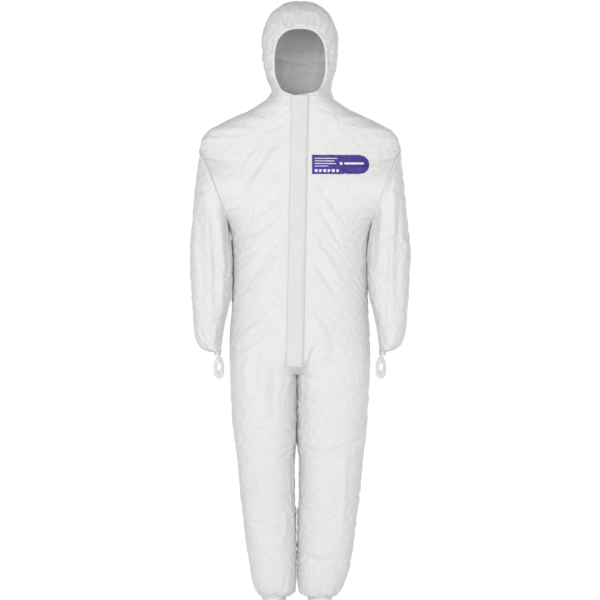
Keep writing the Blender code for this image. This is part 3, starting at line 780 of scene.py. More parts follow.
def simulate(panels):
    """Settle the sewn cloth, which has more fabric than the shape needs: each panel's moved points."""
    points, faces, hold, places = sew(panels)
    moved = with_folds(panels, points, faces, hold, places)
    moved = settled(points, moved, faces, hold)
    return {name: moved[place] for name, place in places.items()}


# ---- materials


def shader_of(name):
    """A new material, its shader and its node tree."""
    material = bpy.data.materials.new(name)
    material.use_nodes = True
    tree = material.node_tree
    return material, tree.nodes["Principled BSDF"], tree


def add_node(tree, kind, **values):
    """A node with its settings and its unlinked sockets."""
    node = tree.nodes.new(kind)
    for key, value in values.items():
        if hasattr(node, key):
            setattr(node, key, value)
        else:
            node.inputs[key.replace("_", " ")].default_value = value
    return node


def wire(tree, *pairs):
    """Join each pair of sockets: a node or its output, then the input it drives."""
    for source, target in pairs:
        tree.links.new(source if hasattr(source, "is_output") else source.outputs[0], target)


def cloth_material(name, light, dark, rough=(0.52, 0.70), emboss=0.0011, depth=0.00012, sheen=0.12):
    """Nonwoven fabric: cloudy fibres, a fine embossed diamond grid, a little sheen."""
    material, shader, tree = shader_of(name)
    place = add_node(tree, "ShaderNodeUVMap", uv_map="cut")
    cloud = add_node(tree, "ShaderNodeTexNoise", Scale=14.0, Detail=5.0, Roughness=0.6)
    fibre = add_node(tree, "ShaderNodeTexNoise", Scale=900.0, Detail=3.0, Roughness=0.7)
    ramp = add_node(tree, "ShaderNodeMapRange", From_Min=0.35, From_Max=0.70)
    mix = add_node(tree, "ShaderNodeMixRGB", Color1=(*light, 1.0), Color2=(*dark, 1.0))
    gloss = add_node(tree, "ShaderNodeMapRange", To_Min=rough[0], To_Max=rough[1])
    turned = add_node(tree, "ShaderNodeMapping", Rotation=(0, 0, math.pi / 4), Scale=(1 / emboss,) * 3)
    dots = add_node(tree, "ShaderNodeTexVoronoi", Scale=1.0, Randomness=0.12)
    relief = add_node(tree, "ShaderNodeBump", Strength=0.35, Distance=depth)
    hairs = add_node(tree, "ShaderNodeBump", Strength=0.25, Distance=0.0001)
    wire(
        tree,
        *((place, node.inputs["Vector"]) for node in (cloud, fibre, turned)),
        *((cloud.outputs["Fac"], node.inputs["Value"]) for node in (ramp, gloss)),
        (ramp, mix.inputs["Fac"]),
        (mix, shader.inputs["Base Color"]),
        (gloss, shader.inputs["Roughness"]),
        (turned, dots.inputs["Vector"]),
        (dots.outputs["Distance"], relief.inputs["Height"]),
        (fibre.outputs["Fac"], hairs.inputs["Height"]),
        (relief, hairs.inputs["Normal"]),
        (hairs, shader.inputs["Normal"]),
    )
    shader.inputs["Sheen Weight"].default_value = sheen
    shader.inputs["Sheen Roughness"].default_value = 0.4
    shader.inputs["Specular IOR Level"].default_value = 0.35
    return material


def hard_material(name, colour, rough, metallic):
    """Moulded plastic or coated metal: a faint mottle in colour and gloss, and fine scratches."""
    material, shader, tree = shader_of(name)
    place = add_node(tree, "ShaderNodeTexCoord")
    spots = add_node(tree, "ShaderNodeTexNoise", Scale=700.0, Detail=3.0, Roughness=0.6)
    shade = [channel * 0.9 for channel in colour]
    mix = add_node(tree, "ShaderNodeMixRGB", Color1=(*colour, 1.0), Color2=(*shade, 1.0))
    gloss = add_node(tree, "ShaderNodeMapRange", To_Min=rough - 0.08, To_Max=rough + 0.12)
    relief = add_node(tree, "ShaderNodeBump", Strength=0.2, Distance=0.0001)
    wire(
        tree,
        (place.outputs["Object"], spots.inputs["Vector"]),
        (spots.outputs["Fac"], mix.inputs["Fac"]),
        (spots.outputs["Fac"], gloss.inputs["Value"]),
        (spots.outputs["Fac"], relief.inputs["Height"]),
        (mix, shader.inputs["Base Color"]),
        (gloss, shader.inputs["Roughness"]),
        (relief, shader.inputs["Normal"]),
    )
    shader.inputs["Metallic"].default_value = metallic
    return material


# Fabrics: name, two colours that it clouds between, range of roughness, pitch and depth of its emboss, sheen
FABRIC = cloth_material("suit_fabric", (0.715, 0.712, 0.703), (0.690, 0.689, 0.684))
# Painted shade: the hood's fabric is the suit's own fabric made darker, with less sheen, to carry the shade
# on the hood's crown and inside it
HOOD_SHADED_FABRIC = cloth_material("hood_fabric_painted_shade", (0.674, 0.671, 0.664), (0.648, 0.647, 0.643), sheen=0.02)
# Painted shade: the storm flap's fabric is the suit's own fabric made darker, to carry the flap's shade
FLAP_SHADED_FABRIC = cloth_material("flap_fabric_painted_shade", (0.665, 0.662, 0.652), (0.640, 0.639, 0.634))
ELASTIC, THREAD, TAPE_WEAVE, TAPE_FILM, SATIN, LABEL_INK, LABEL_PALE = (
    cloth_material(*row)
    for row in (
        ("ruched_elastic", (0.700, 0.698, 0.690), (0.640, 0.638, 0.632), (0.6, 0.8), 0.0009, 0.0002),
        ("thread", (0.780, 0.778, 0.770), (0.720, 0.718, 0.712), (0.4, 0.6), 0.0006, 0.0001),
        ("zip_tape_weave", (0.760, 0.758, 0.750), (0.700, 0.698, 0.690), (0.5, 0.65), 0.0006),
        ("adhesive_film", (0.800, 0.780, 0.690), (0.760, 0.740, 0.650), (0.2, 0.35), 0.004),
        ("woven_label", (0.780, 0.778, 0.770), (0.720, 0.720, 0.715), (0.3, 0.45), 0.0004),
        ("label_ink", (0.046, 0.026, 0.255), (0.038, 0.021, 0.225), (0.45, 0.6), 0.0011),
        ("label_pale", (0.760, 0.755, 0.760), (0.700, 0.695, 0.705), (0.45, 0.6), 0.0011),
    )
)
NYLON = hard_material("moulded_nylon", (0.780, 0.775, 0.760), 0.38, 0.0)
METAL = hard_material("coated_metal", (0.640, 0.640, 0.640), 0.30, 0.85)


# ---- finished panels


def finer(point):
    """Twice as many rows and columns, on a cubic through the points."""
    for axis in (0, 1):
        p = np.moveaxis(point, axis, 0)
        ends = np.concatenate([2 * p[:1] - p[1:2], p, 2 * p[-1:] - p[-2:-1]])
        middle = (9 * (ends[1:-2] + ends[2:-1]) - ends[:-3] - ends[3:]) / 16
        made = np.empty((2 * len(p) - 1, *p.shape[1:]))
        made[::2] = p
        made[1::2] = middle
        point = np.moveaxis(made, 0, axis)
    return point


def lengths(point):
    """Flat pattern coordinates of a grid: metres along its rows and its columns."""
    across = np.linalg.norm(np.diff(point, axis=1), axis=-1)
    along = np.linalg.norm(np.diff(point, axis=0), axis=-1)
    s = np.concatenate([np.zeros((len(point), 1)), np.cumsum(across, 1)], 1)
    t = np.concatenate([np.zeros((1, point.shape[1])), np.cumsum(along, 0)], 0)
    return np.stack([s, t], -1)


def patterned(name, mesh, pattern, material):
    """An object of the mesh, whose points' flat pattern coordinates become its UV map."""
    corner = np.zeros(len(mesh.loops), int)
    mesh.loops.foreach_get("vertex_index", corner)
    layer = mesh.uv_layers.new(name="cut")
    layer.data.foreach_set("uv", pattern[corner].astype(np.float32).ravel())
    mesh.materials.append(material)
    return linked(name, mesh)


def panel_object(name, point, material, flip):
    """An object from a grid of points."""
    quads = cells(point.shape[:2])
    mesh = mesh_of(name, point, (quads[:, ::-1] if flip else quads).tolist())
    return patterned(name, mesh, lengths(point).reshape(-1, 2), material)


# ---- bands, seams and stitches


def unit(vectors):
    """Vectors scaled to length 1."""
    return vectors / np.maximum(np.linalg.norm(vectors, axis=-1, keepdims=True), 1e-12)


def walk(path, closed):
    """Distance run along a path at each of its points, and its directions."""
    ahead = np.roll(path, -1, 0) - path
    way = np.roll(path, -1, 0) - np.roll(path, 1, 0) if closed else np.gradient(path, axis=0)
    run = np.concatenate([[0.0], np.cumsum(np.linalg.norm(ahead, axis=1))[:-1]])
    return run, unit(way)


def evened(path, step, closed=False):
    """A path resampled to a nearly even step."""
    if closed:
        path = np.concatenate([path, path[:1]])
    run = np.concatenate([[0.0], np.cumsum(np.linalg.norm(np.diff(path, axis=0), axis=1))])
    place = np.linspace(0, run[-1], max(3, round(run[-1] / step)) + 1)
    made = np.stack([np.interp(place, run, path[:, k]) for k in range(3)], -1)
    return made[:-1] if closed else made


def tube_faces(shape, closed):
    """Faces of a tube from its rings of points: a torus if closed, else with capped ends."""
    index = np.arange(shape[0] * shape[1]).reshape(shape)
    here, ahead = (index, np.roll(index, -1, 0)) if closed else (index[:-1], index[1:])
    quads = np.stack([here, np.roll(here, -1, 1), np.roll(ahead, -1, 1), ahead], -1).reshape(-1, 4).tolist()
    return quads if closed else [*quads, index[0, ::-1].tolist(), index[-1].tolist()]


def tubes(name, rings, material, closed=False):
    """One piece made of tubes, each given by its rings of points."""
    faces, start = [], 0
    for ring in rings:
        faces += [[start + i for i in face] for face in tube_faces(ring.shape[:2], closed)]
        start += ring.shape[0] * ring.shape[1]
    point = np.concatenate([ring.reshape(-1, 3) for ring in rings])
    pattern = np.stack([point[:, 0] + point[:, 1], point[:, 2]], -1)
    return patterned(name, mesh_of(name, point, faces), pattern, material)


def closed_strip(name, top, bottom, material):
    """A thin closed strip from the grids of its outer and inner faces."""
    return tubes(name, [np.concatenate([top, bottom[:, ::-1]], 1)], material)


def band(name, path, out, size, material, ruffle=0.0, pitch=0.006, ribs=0.0, closed=False, sides=12, seed=3):
    """A flat band along a path: size is half its width and half its thickness; out is its outer side."""
    run, way = walk(path, closed)
    across = unit(np.cross(way, out))
    out = unit(np.cross(across, way))
    wave = Noise(seed)(run / pitch, 0.5, 0.5)
    if closed:
        wave = lerp(wave, Noise(seed)((run - run[-1]) / pitch, 0.5, 0.5), run / (run[-1] + 1e-9))
    path = path + out * (ruffle * wave)[:, None]
    turn = np.arange(sides) * 2 * math.pi / sides
    wide, thick = np.broadcast_to(size[0], len(path))[:, None, None], size[1]
    swell = 1.0 + ribs * np.sin(run / pitch * 2 * math.pi)
    rings = (
        path[:, None]
        + across[:, None] * (wide * arc(np.cos(turn), 3.0)[None, :, None])
        + out[:, None] * (thick * arc(np.sin(turn), 3.0))[None, :, None] * swell[:, None, None]
    )
    return tubes(name, [rings], material, closed)


def stitch_row(path, normal):
    """Rings of the small stitches that lie along a path."""
    run, way = walk(path, False)
    turns = np.arange(5) * 2 * math.pi / 5
    rings = []
    for number in range(int(run[-1] / (STITCH + STITCH_GAP))):
        ring = []
        for part in np.linspace(0, 1, 4):
            at = number * (STITCH + STITCH_GAP) + part * STITCH
            centre, forward = (
                np.array([np.interp(at, run, line[:, k]) for k in range(3)]) for line in (path, way)
            )
            thick = STITCH_R * (0.35 + 0.65 * math.sin(math.pi * part))
            side = unit(np.cross(forward, normal)) * thick
            ring.append(centre + side * np.cos(turns)[:, None] + normal * (np.sin(turns) * thick)[:, None])
        rings.append(np.array(ring))
    return rings


def hand_over(obj, slot, bodies, *nodes):
    """Give a piece its body, or, where it is given what it would bend between, bake its place into its mesh;
    hide the CAD nodes it stands for. The slot is not used.
    """
    if isinstance(bodies, str):
        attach(obj, bodies)
    else:
        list(bodies)
        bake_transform(obj)
    if nodes:
        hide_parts(*nodes)
    return obj


# ---- building

SEAM_SIZE = (0.0016, 0.0008)
NECK_SEAM_SIZE = (0.0013, 0.0005)
ARMHOLE_SEAM_SIZE = (0.0018, 0.0012)
SEAM_STEP = 0.0022
SEAM_PITCH = 0.0044
SEAM_START = 5
RISE_SEAM_TOP = 0.700
STITCH, STITCH_GAP, STITCH_R = 0.0024, 0.0012, 0.00028
HIP_BLEND = 0.22
HIP_LEAN = (0.419, -0.908)
HOOD_BEND = ("torso", "hood", (0.0, 0.0, NECK_Z + 0.004), (0.0, 0.0, NECK_Z + 0.12))
CUFF = {"x": 0.2425, "z": 0.7285, "rx": 0.0085, "ry": 0.036, "half": 0.0062}
LOOP = {"x": 0.2375, "y": -0.051, "top": 0.7205, "bottom": 0.659, "half": 0.0165}
ANKLE = {"x": 0.0675, "z": 0.0078, "rx": 0.0340, "ry": 0.0485, "half": 0.0068}

CLOTH = {name: finer(point) for name, point in simulate(all_panels()).items()}
FINE_COUNT = 2 * len(BODY_ROWS) - 1
FINE_ROWS = np.interp(np.arange(FINE_COUNT), np.arange(0, FINE_COUNT, 2), BODY_ROWS)


def seam(name, path, out, bodies, size=SEAM_SIZE, ribs=0.25, closed=False):
    """A raised seam along a path; out is the direction it faces, or gives it for the points."""
    path = evened(path, SEAM_STEP, closed)
    out = out(path) if callable(out) else out
    hand_over(band(name, path, out, size, THREAD, 0.0, SEAM_PITCH, ribs, closed, 8), "fabric", bodies)


def build_body(side_name, side):
    """Front and back of one half of the body, and the seams between them."""
    start = Vector((LINE_RISE_X, 0.0, CROTCH_Z))
    end = start + Vector((side * HIP_LEAN[0], 0.0, HIP_LEAN[1])) * HIP_BLEND
    hip = ("torso", f"leg_{side_name}", start, end)
    for half, face in FACES:
        name = f"body_{half}_{side_name}"
        upper = f"front_panel_{side_name}" if face < 0 else "back_panel"
        obj = panel_object(name, CLOTH[name], FABRIC, side * face > 0)
        hand_over(obj, "fabric", hip, upper, f"leg_{side_name}_{half}")
    front = CLOTH[f"body_front_{side_name}"]
    seam(f"side_seam_{side_name}", front[FINE_ROWS <= ARMPIT_Z, -1], (side, 0, 0), hip)
    seam(f"inseam_{side_name}", front[FINE_ROWS <= CROTCH_Z, 0], (-side, 0, 0), hip)
    seam(f"shoulder_seam_{side_name}", front[FINE_ROWS >= SHOULDER_Z, -1], (side * 0.4, 0, 1), "torso")


def build_centre_seams():
    """The seam down the middle of the back, the short one below the zip, and the one round the neck."""
    back, front = CLOTH["body_back_right"], CLOTH["body_front_right"]
    seam("back_seam", back[FINE_ROWS >= CROTCH_Z, 0], (0.0, 1.0, -0.2), "torso")
    rise = (FINE_ROWS >= CROTCH_Z) & (FINE_ROWS < RISE_SEAM_TOP)
    seam("rise_seam", front[rise, 0], (0.0, -1.0, -0.4), "torso")
    for name, _ in SIDES:
        path = np.concatenate([CLOTH[f"body_front_{name}"][-1], CLOTH[f"body_back_{name}"][-1][::-1][1:]])
        seam(f"neck_seam_{name}", path, lambda p: unit(p * [1, 1, 0]), "torso", NECK_SEAM_SIZE)


def ellipse(centre, rx, ry, count):
    """Points of a level ellipse."""
    turn = np.arange(count) * 2 * math.pi / count
    return np.stack([rx * np.cos(turn), ry * np.sin(turn), 0 * turn], -1) + centre


def build_sleeve(side_name, side):
    """Both halves of one sleeve, its seams and its gathered cuff."""
    body = f"sleeve_{side_name}"
    for half, face in FACES:
        name = f"sleeve_{half}_{side_name}"
        obj = panel_object(name, CLOTH[name], FABRIC, side * face < 0)
        hand_over(obj, "fabric", body, f"{body}_{half}")
    front, back = CLOTH[f"sleeve_front_{side_name}"], CLOTH[f"sleeve_back_{side_name}"]
    seam(f"sleeve_under_seam_{side_name}", front[SEAM_START:, 0], (-side, 0.0, 0.1), body)
    seam(f"sleeve_top_seam_{side_name}", front[SEAM_START:, -1], (side, 0.0, 0.1), body)
    ring = np.concatenate([front[0], back[0][::-1][1:-1]])
    seam(
        f"armhole_seam_{side_name}", ring, lambda p: unit(p - p.mean(0)), "torso",
        ARMHOLE_SEAM_SIZE, ribs=0.2, closed=True,
    )
    ring = ellipse((side * CUFF["x"], ARM_Y, CUFF["z"]), CUFF["rx"], CUFF["ry"], 220)
    obj = band(
        f"cuff_gather_{side_name}", ring, unit((ring - ring.mean(0)) * [1, 0.2, 0]), (CUFF["half"], 0.0013),
        ELASTIC, ruffle=0.0012, pitch=0.0040, closed=True,
    )
    hand_over(obj, "elastic", body, f"cuff_elastic_{side_name}")


def build_loop(side_name, side):
    """A thumb loop: a fabric band folded into a leaf shape that hangs from the cuff."""
    turn = np.arange(160) * 2 * math.pi / 160
    up = np.cos(turn)
    middle, tall = 0.5 * (LOOP["top"] + LOOP["bottom"]), 0.5 * (LOOP["top"] - LOOP["bottom"])
    taper = 1.0 - 0.55 * np.maximum(0.0, up) ** 2
    cut = 0.0066 + 0.0045 * up**2 - 0.0035 * np.maximum(0.0, up) ** 3
    across = side * LOOP["x"] + LOOP["half"] * 0.60 * np.sin(turn) * taper
    path = np.stack([across, LOOP["y"] + 0.0025 * np.sin(turn * 2), middle + 0.80 * tall * up], -1)
    lean = np.stack([0.55 * np.sin(turn), -0.9 + 0.25 * np.sin(turn), 0.2 * np.cos(turn)], -1)
    obj = band(
        f"thumb_loop_band_{side_name}", path, unit(lean), (cut, 0.0009), ELASTIC,
        ruffle=0.0005, pitch=0.005, closed=True,
    )
    hand_over(obj, "elastic", f"thumb_loop_{side_name}", f"thumb_loop_{side_name}")


def build_ankle(side_name, side):
    """The gathered hem round one ankle."""
    ring = ellipse((LINE_RISE_X + side * ANKLE["x"], 0.0, ANKLE["z"]), ANKLE["rx"], ANKLE["ry"], 260)
    obj = band(
        f"ankle_gather_{side_name}", ring, unit((ring - ring.mean(0)) * [1, 1, 0]), (ANKLE["half"], 0.0014),
        ELASTIC, ruffle=0.0016, pitch=0.0052, closed=True, seed=4,
    )
    hand_over(obj, "elastic", f"leg_{side_name}", f"ankle_elastic_{side_name}")


def build_hood():
    """The hood's three panels, its seams and the gathered hem of the face opening."""
    for name, node, flat, area in (
        ("hood_side_right", "hood_side_right", (0.285, 0.380), 0.0645),
        ("hood_side_left", "hood_side_left", (0.285, 0.380), 0.0645),
        ("hood_centre", "hood_centre_panel", (0.118, 0.522), 0.054),
    ):
        # The hood panels take the darker copy of the suit fabric, which paints shade on the hood
        obj = panel_object(name + "_cloth", CLOTH[name], HOOD_SHADED_FABRIC, "left" in name)
        hand_over(obj, "fabric", HOOD_BEND, node)
    for name, column in (("right", 0), ("left", -1)):
        path = CLOTH["hood_centre"][:, column]
        seam(f"hood_seam_{name}", path, lambda p: unit(p - HOOD_MIDDLE), HOOD_BEND)
    corner = face_top_z(SEAM_CROWN_X) + 0.0005
    right, left = CLOTH["hood_side_right"][:, 0], CLOTH["hood_side_left"][:, 0]
    edge = [right[right[:, 2] < corner], CLOTH["hood_centre"][0, 1:-1], left[left[:, 2] < corner][::-1]]
    edge = evened(np.concatenate(edge), 0.0014)
    out = unit(unit(edge - [0.0, 0.01, FACE["z"]]) + [0, -1.2, 0])
    hem = band("hood_face_hem", edge, out, (0.0042, 0.0012), ELASTIC, ruffle=0.0011, pitch=0.0060, seed=6)
    hand_over(hem, "elastic", HOOD_BEND, "hood_face_elastic")


# ---- zip, flap and labels

# Flap section from its sewn edge to its free edge: (share, across, out from the fabric)
FLAP_PROFILE = (
    (0.0, 0.0190, 0.0014),
    (0.07, 0.0160, 0.0032),
    (0.20, 0.0100, 0.0062),
    (0.55, -0.0080, 0.0060),
    (0.80, -0.0180, 0.0040),
    (1.0, -0.0300, 0.0028),
)
FLAP_Z = (0.690, 1.4825)
FLAP_SKIN = 0.0007
FLAP_STITCHES = (0.10, 0.15, 0.88)
TAPE = {"inner": 0.0034, "outer": 0.0145, "out": -0.0030, "half": 0.00035}
TEETH = {"out": -0.0027, "pitch": 0.0020, "wide": 0.0008, "thick": 0.0013}
TOOTH_OUTLINE = ((0.0002, 0.55), (0.0007, 0.95), (0.0013, 0.70), (0.0019, 0.62), (0.0026, 1.0), (0.0030, 0.9))
LABEL = {"left": 0.035, "right": 0.202, "bottom": 1.252, "top": 1.308}
LABEL_BORDER = 0.0022
NECK_LABEL = {"bottom": 1.435, "top": 1.468, "half": 0.018}
LINE_LOW = np.array([LINE_RISE_X, -FRONT_RISE, RISE_Z])
LINE_HIGH = np.array([LINE_NECK_X, -FRONT_NECK, NECK_Z])
LINE_UP = unit(LINE_HIGH - LINE_LOW)
LINE_OUT = -unit(np.array([0.0, 1.0, 0.0]) - LINE_UP * LINE_UP[1])
LINE_ACROSS = np.cross(-LINE_OUT, LINE_UP)
FLAP_WAVE = Noise(21)


def line_point(across, out, z):
    """A point beside the zip line and out from the fabric."""
    share = (np.asarray(z) - RISE_Z) / (NECK_Z - RISE_Z)
    where = LINE_LOW + share[..., None] * (LINE_HIGH - LINE_LOW)
    return where + np.asarray(across)[..., None] * LINE_ACROSS + np.asarray(out)[..., None] * LINE_OUT


def strip_grid(low, high, rows, columns, left=0.0, right=1.0):
    """Heights and places across of a strip's points."""
    return np.meshgrid(np.linspace(low, high, rows), np.linspace(left, right, columns), indexing="ij")


def flap_surface(u, z, lift):
    """The flap's surface: low at both edges, puckered along its stitching, softly waved along its length."""
    across, out = smooth(FLAP_PROFILE, u, 1), smooth(FLAP_PROFILE, u, 2)
    edge = bell(u, 0.12, 0.12) + bell(u, 0.90, 0.12)
    wave = 0.0008 * FLAP_WAVE(z * 9, u * 1.5, 0.5) + 0.0013 * FLAP_WAVE(z * 5, u * 7, 7.5)
    wave += 0.0006 * edge * FLAP_WAVE(z * 85, u * 3, 4.5)
    across = across + 0.0009 * ease((u - 0.5) / 0.5) * FLAP_WAVE(z * 16, 2.5, 1.5)
    hem = 0.0004 * (ease((0.16 - u) / 0.02) + ease((u - 0.80) / 0.02))
    return line_point(across, out + lift + np.maximum(wave, -0.0008) * np.sin(u * math.pi) ** 0.5 + hem, z)


def build_flap():
    """The storm flap with its rows of stitches, and the adhesive strip beneath it."""
    z, u = strip_grid(*FLAP_Z, 331, 33)
    outer, inner = (flap_surface(u, z, lift) for lift in (FLAP_SKIN, -FLAP_SKIN))
    # The flap takes the darker copy of the suit fabric, which paints shade on it
    flap = closed_strip("storm_flap_cloth", outer, inner, FLAP_SHADED_FABRIC)
    hand_over(flap, "flap_fabric", "storm_flap", "storm_flap")
    rings, z = [], np.linspace(FLAP_Z[0] + 0.003, FLAP_Z[1] - 0.003, 400)
    for place in FLAP_STITCHES:
        path = flap_surface(np.full(400, place), z, FLAP_SKIN + 0.0001)
        rings += stitch_row(evened(path, 0.004), LINE_OUT)
    sewn = hand_over(tubes("storm_flap_stitches", rings, THREAD), "flap_fabric", "storm_flap")
    z, t = strip_grid(FLAP_Z[0] + 0.01, FLAP_Z[1] - 0.01, 161, 7)
    across = lerp(-0.0285, -0.0185, t)
    out = lerp(0.0026, 0.0038, (across + 0.030) / 0.013) - 0.0012
    crinkle = 0.0001 * FLAP_WAVE(z * 300, t * 3, 0.5)
    outer, inner = line_point(across, out + 0.0003, z), line_point(across, out - 0.0003 + crinkle, z)
    strip = closed_strip("adhesive_tape", outer, inner, TAPE_FILM)
    hand_over(strip, "adhesive", "storm_flap", "flap_adhesive_strip")


def teeth(side):
    """Rings of a row of moulded teeth: each a rounded block with a waist and a head."""
    turn = np.arange(8) * 2 * math.pi / 8 + math.pi / 8
    reach, size = (np.array(column)[:, None] for column in zip(*TOOTH_OUTLINE))
    across = side * reach + 0 * turn
    out = TEETH["out"] + TEETH["thick"] * size * arc(np.sin(turn), 4)
    up = TEETH["wide"] * size * arc(np.cos(turn), 4)
    places = np.arange(int((ZIP_TOP_Z - ZIP_BOTTOM_Z) / TEETH["pitch"])) + 0.5 + 0.25 * side
    heights = ZIP_BOTTOM_Z + places * TEETH["pitch"]
    return [line_point(across, out, np.full(out.shape, z)) + up[..., None] * LINE_UP for z in heights]


def build_zip():
    """Woven tapes and rows of moulded teeth; the stops, slider and pull keep their CAD shape."""
    for name, side in SIDES:
        z, t = strip_grid(ZIP_BOTTOM_Z, ZIP_TOP_Z + 0.004, 361, 11)
        across = side * lerp(TAPE["inner"], TAPE["outer"], t)
        bead = 0.0004 * bell(t, 0.06, 0.05)
        ripple = 0.00015 * FLAP_WAVE(z * 60, t * 2, side * 3.0)
        outer = line_point(across, TAPE["out"] + TAPE["half"] + bead + ripple, z)
        inner = line_point(across, TAPE["out"] - TAPE["half"] + ripple, z)
        tape = closed_strip(f"zip_weave_{name}", outer, inner, TAPE_WEAVE)
        hand_over(tape, "zip_tape", "torso", f"zip_tape_{name}")
        row = tubes(f"zip_moulded_teeth_{name}", teeth(side), NYLON)
        hand_over(row, "zip_plastic", "torso", f"zip_teeth_{name}")
    for material, nodes in (
        (NYLON, ("zip_top_stop_right", "zip_top_stop_left", "zip_bottom_stop")),
        (METAL, ("zip_slider_body", "zip_pull_tab")),
    ):
        for node in nodes:
            obj = bpy.data.objects[node]
            for place in obj.material_slots:
                place.material = material
            rounding = obj.modifiers.new("rounding", "BEVEL")
            rounding.width = 0.00018
            rounding.segments = 2
            rounding.limit_method = "ANGLE"


def cast(name, starts, way):
    """Where rays first meet a panel: its points and normals, or None."""
    point = CLOTH[name]
    tree = BVHTree.FromPolygons(point.reshape(-1, 3).tolist(), cells(point.shape[:2]).tolist())
    return [tree.ray_cast(Vector(start), Vector(way))[:2] for start in starts]


def label_grid(left, right, bottom, top, step, round_end):
    """Points across a flat patch whose right end may be a half circle."""
    rows, columns = (max(3, round(size / step) + 1) for size in (top - bottom, right - left))
    z, t = strip_grid(bottom, top, rows, columns)
    radius = 0.5 * (top - bottom)
    inset = radius - np.sqrt(np.maximum(0.0, radius**2 - (z - 0.5 * (top + bottom)) ** 2))
    return lerp(left, right - inset * round_end, t), z


def patch(name, grid, low, high, material):
    """A thin closed piece that lies on the chest, between two heights above the fabric."""
    x, z = grid
    found = cast("body_front_left", zip(x.ravel(), np.full(x.size, -1.0), z.ravel()), (0.0, 1.0, 0.0))
    point, normal = (np.array([hit[k] for hit in found]).reshape(*x.shape, 3) for k in (0, 1))
    normal *= -np.sign(normal[..., 1:2])
    return closed_strip(name, point + normal * high, point + normal * low, material)


def build_label():
    """The chest label: a coloured printed patch with a pale border and plain bars and signs."""
    left, right, bottom, top = LABEL.values()
    frame_grid = label_grid(
        left - LABEL_BORDER, right + LABEL_BORDER, bottom - LABEL_BORDER, top + LABEL_BORDER, 0.003, True
    )
    border = patch("chest_label_border", frame_grid, 0.0003, 0.0007, LABEL_PALE)
    face_grid = label_grid(left, right, bottom, top, 0.0028, True)
    face = patch("chest_label_print", face_grid, 0.0005, 0.0011, LABEL_INK)
    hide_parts("chest_label")
    bars = [
        (left + 0.008, left + 0.008 + width, top - 0.010 - 0.0075 * k, 0.0024)
        for k, width in enumerate((0.066, 0.058, 0.062, 0.040))
    ]
    bars.append((right - 0.086, right - 0.078, bottom + 0.031, 0.0080))
    bars.append((right - 0.073, right - 0.016, bottom + 0.0315, 0.0062))
    marks = [label_grid(a, b, z - tall / 2, z + tall / 2, 0.002, False) for a, b, z, tall in bars]
    for k in range(6):
        a = left + 0.008 + 0.0125 * k
        marks.append(label_grid(a, a + 0.0085, bottom + 0.006, bottom + 0.0145, 0.002, k % 2 == 1))
    pieces = [
        patch(f"chest_label_mark_{k + 1}", mark, 0.0010, 0.0014, LABEL_PALE) for k, mark in enumerate(marks)
    ]
    for piece in (border, face, *pieces):
        hand_over(piece, "label_print", "torso")


def build_waist():
    """The gathered elastic sewn across the back of the waist."""
    for name, side in SIDES:
        starts = [(x, 1.0, WAIST_Z) for x in side * np.linspace(0.0004, 0.145, 160)]
        found = [hit for hit, _ in cast(f"body_back_{name}", starts, (0.0, -1.0, 0.0)) if hit]
        path = evened(np.array(found) + [0.0, 0.0004, 0.0], 0.0011)
        strip = band(
            f"waist_gather_{name}", path, (side * 0.15, 1.0, 0.0), (0.0088, 0.0013), ELASTIC,
            ruffle=0.0010, pitch=0.0048,
        )
        hand_over(strip, "elastic", "torso", "waist_elastic")


def build_neck_label():
    """The blank size label that hangs inside the nape."""
    bottom, top, half = NECK_LABEL.values()
    z, t = strip_grid(bottom, top, 24, 26, -half, half)
    depth = smooth(TORSO_BACK, z) - 0.0045 - 0.0009 * (1.0 - ((z - bottom) / 0.033))
    curl = 0.0008 * np.sin(t / half * 2.0) * ease((top - z) / 0.033)
    point = np.stack([t, depth - curl, z], -1)
    label = closed_strip("neck_size_label", point + [0, -0.00025, 0], point + [0, 0.00025, 0], SATIN)
    hand_over(label, "neck_label", "torso", "neck_label")


for side_name, side in SIDES:
    build_body(side_name, side)
    build_sleeve(side_name, side)
    build_loop(side_name, side)
    build_ankle(side_name, side)
build_centre_seams()
build_hood()
build_flap()
build_zip()
build_label()
build_waist()
build_neck_label()


# ---- stage

VIEW_HEIGHT = 1.77
VIEW_CENTRE = (0.0, 0.0, 0.885)
CAMERA_DISTANCE = 9.0
SENSOR = 36.0
STAGE_GLOW = 0.32
STAGE_WHITE = 1.02
FLOOR_R, FLOOR_BEND, WALL_TOP = 12.0, 2.0, 9.0
LIGHT_TARGET = Vector((0.0, 0.0, 0.95))

# Lights: name, place, size, power
LIGHTS = (
    ("key", (-1.9, -6.0, 2.1), 3.0, 158.0),
    ("fill", (1.9, -6.0, 1.2), 3.0, 96.0),
    ("top", (0.0, 0.4, 4.2), 2.0, 1.0),
    ("back", (1.2, 6.2, 1.8), 3.6, 230.0),
    ("side_right", (-6.2, 0.6, 1.6), 3.0, 42.0),
    ("side_left", (6.2, 0.6, 1.6), 3.0, 42.0),
)


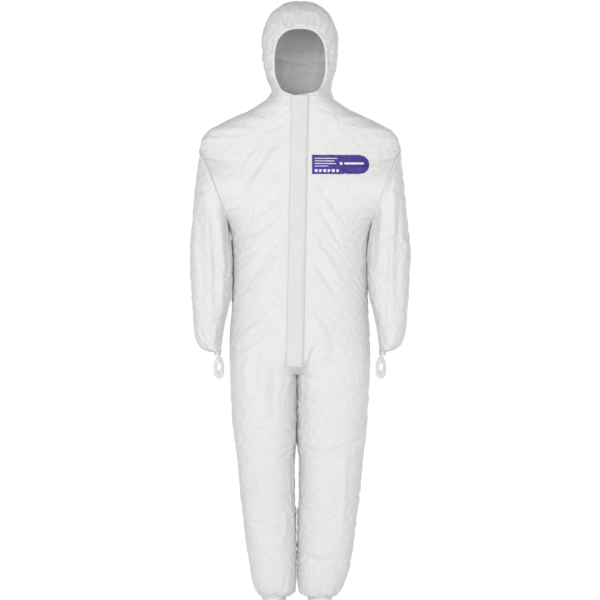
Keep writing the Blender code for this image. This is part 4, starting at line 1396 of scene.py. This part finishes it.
def stage_material():
    """Even white as the camera sees it; a pale floor with a weak glow as the suit sees it."""
    material, shader, tree = shader_of("studio_white")
    shader.inputs["Base Color"].default_value = (0.5, 0.5, 0.5, 1.0)
    shader.inputs["Roughness"].default_value = 0.9
    shader.inputs["Emission Color"].default_value = (1.0, 1.0, 1.0, 1.0)
    shader.inputs["Emission Strength"].default_value = STAGE_GLOW
    plain = add_node(tree, "ShaderNodeEmission", Strength=STAGE_WHITE)
    seen = add_node(tree, "ShaderNodeLightPath")
    choice = add_node(tree, "ShaderNodeMixShader")
    finish = next(node for node in tree.nodes if node.type == "OUTPUT_MATERIAL")
    wire(
        tree,
        (seen.outputs["Is Camera Ray"], choice.inputs[0]),
        (shader, choice.inputs[1]),
        (plain, choice.inputs[2]),
        (choice, finish.inputs["Surface"]),
    )
    return material


def build_sweep():
    """Pale floor that curves up into a round backdrop."""
    corner = np.linspace(0.0, math.pi / 2, 13)
    reach = np.array([0.0, *(FLOOR_R + FLOOR_BEND * np.sin(corner)), FLOOR_R + FLOOR_BEND])[:, None]
    height = np.array([0.0, *(FLOOR_BEND - FLOOR_BEND * np.cos(corner)), WALL_TOP])[:, None] - 0.001
    turn = np.linspace(0.0, 2 * math.pi, 97)
    point = np.stack([reach * np.cos(turn), reach * np.sin(turn), height + 0 * turn], -1)
    mesh = mesh_of("studio_sweep", point, cells(point.shape[:2]).tolist())
    mesh.materials.append(stage_material())
    linked("studio_sweep", mesh)


def build_camera():
    """Camera straight at the front, at half the suit's height."""
    camera = bpy.data.cameras.new("camera")
    camera.sensor_width = SENSOR
    camera.lens = SENSOR * CAMERA_DISTANCE / VIEW_HEIGHT
    camera.clip_end = 60.0
    holder = linked("camera", camera)
    holder.location = Vector(VIEW_CENTRE) + Vector((0.0, -CAMERA_DISTANCE, 0.0))
    holder.rotation_euler = (math.pi / 2, 0.0, 0.0)
    bpy.context.scene.camera = holder


def build_lights():
    """Soft studio light from large lamps and an even pale world."""
    world = bpy.data.worlds.new("studio")
    world.use_nodes = True
    sky = world.node_tree.nodes["Background"]
    sky.inputs["Color"].default_value = (1.0, 1.0, 1.0, 1.0)
    sky.inputs["Strength"].default_value = 0.32
    bpy.context.scene.world = world
    bpy.context.scene.view_settings.view_transform = "Standard"
    for name, place, size, power in LIGHTS:
        light = bpy.data.lights.new(name, "AREA")
        light.size = size
        light.energy = power
        lamp = linked(name, light)
        lamp.location = place
        lamp.rotation_mode = "QUATERNION"
        lamp.rotation_quaternion = (LIGHT_TARGET - Vector(place)).to_track_quat("-Z", "Y")


build_sweep()
build_camera()
build_lights()
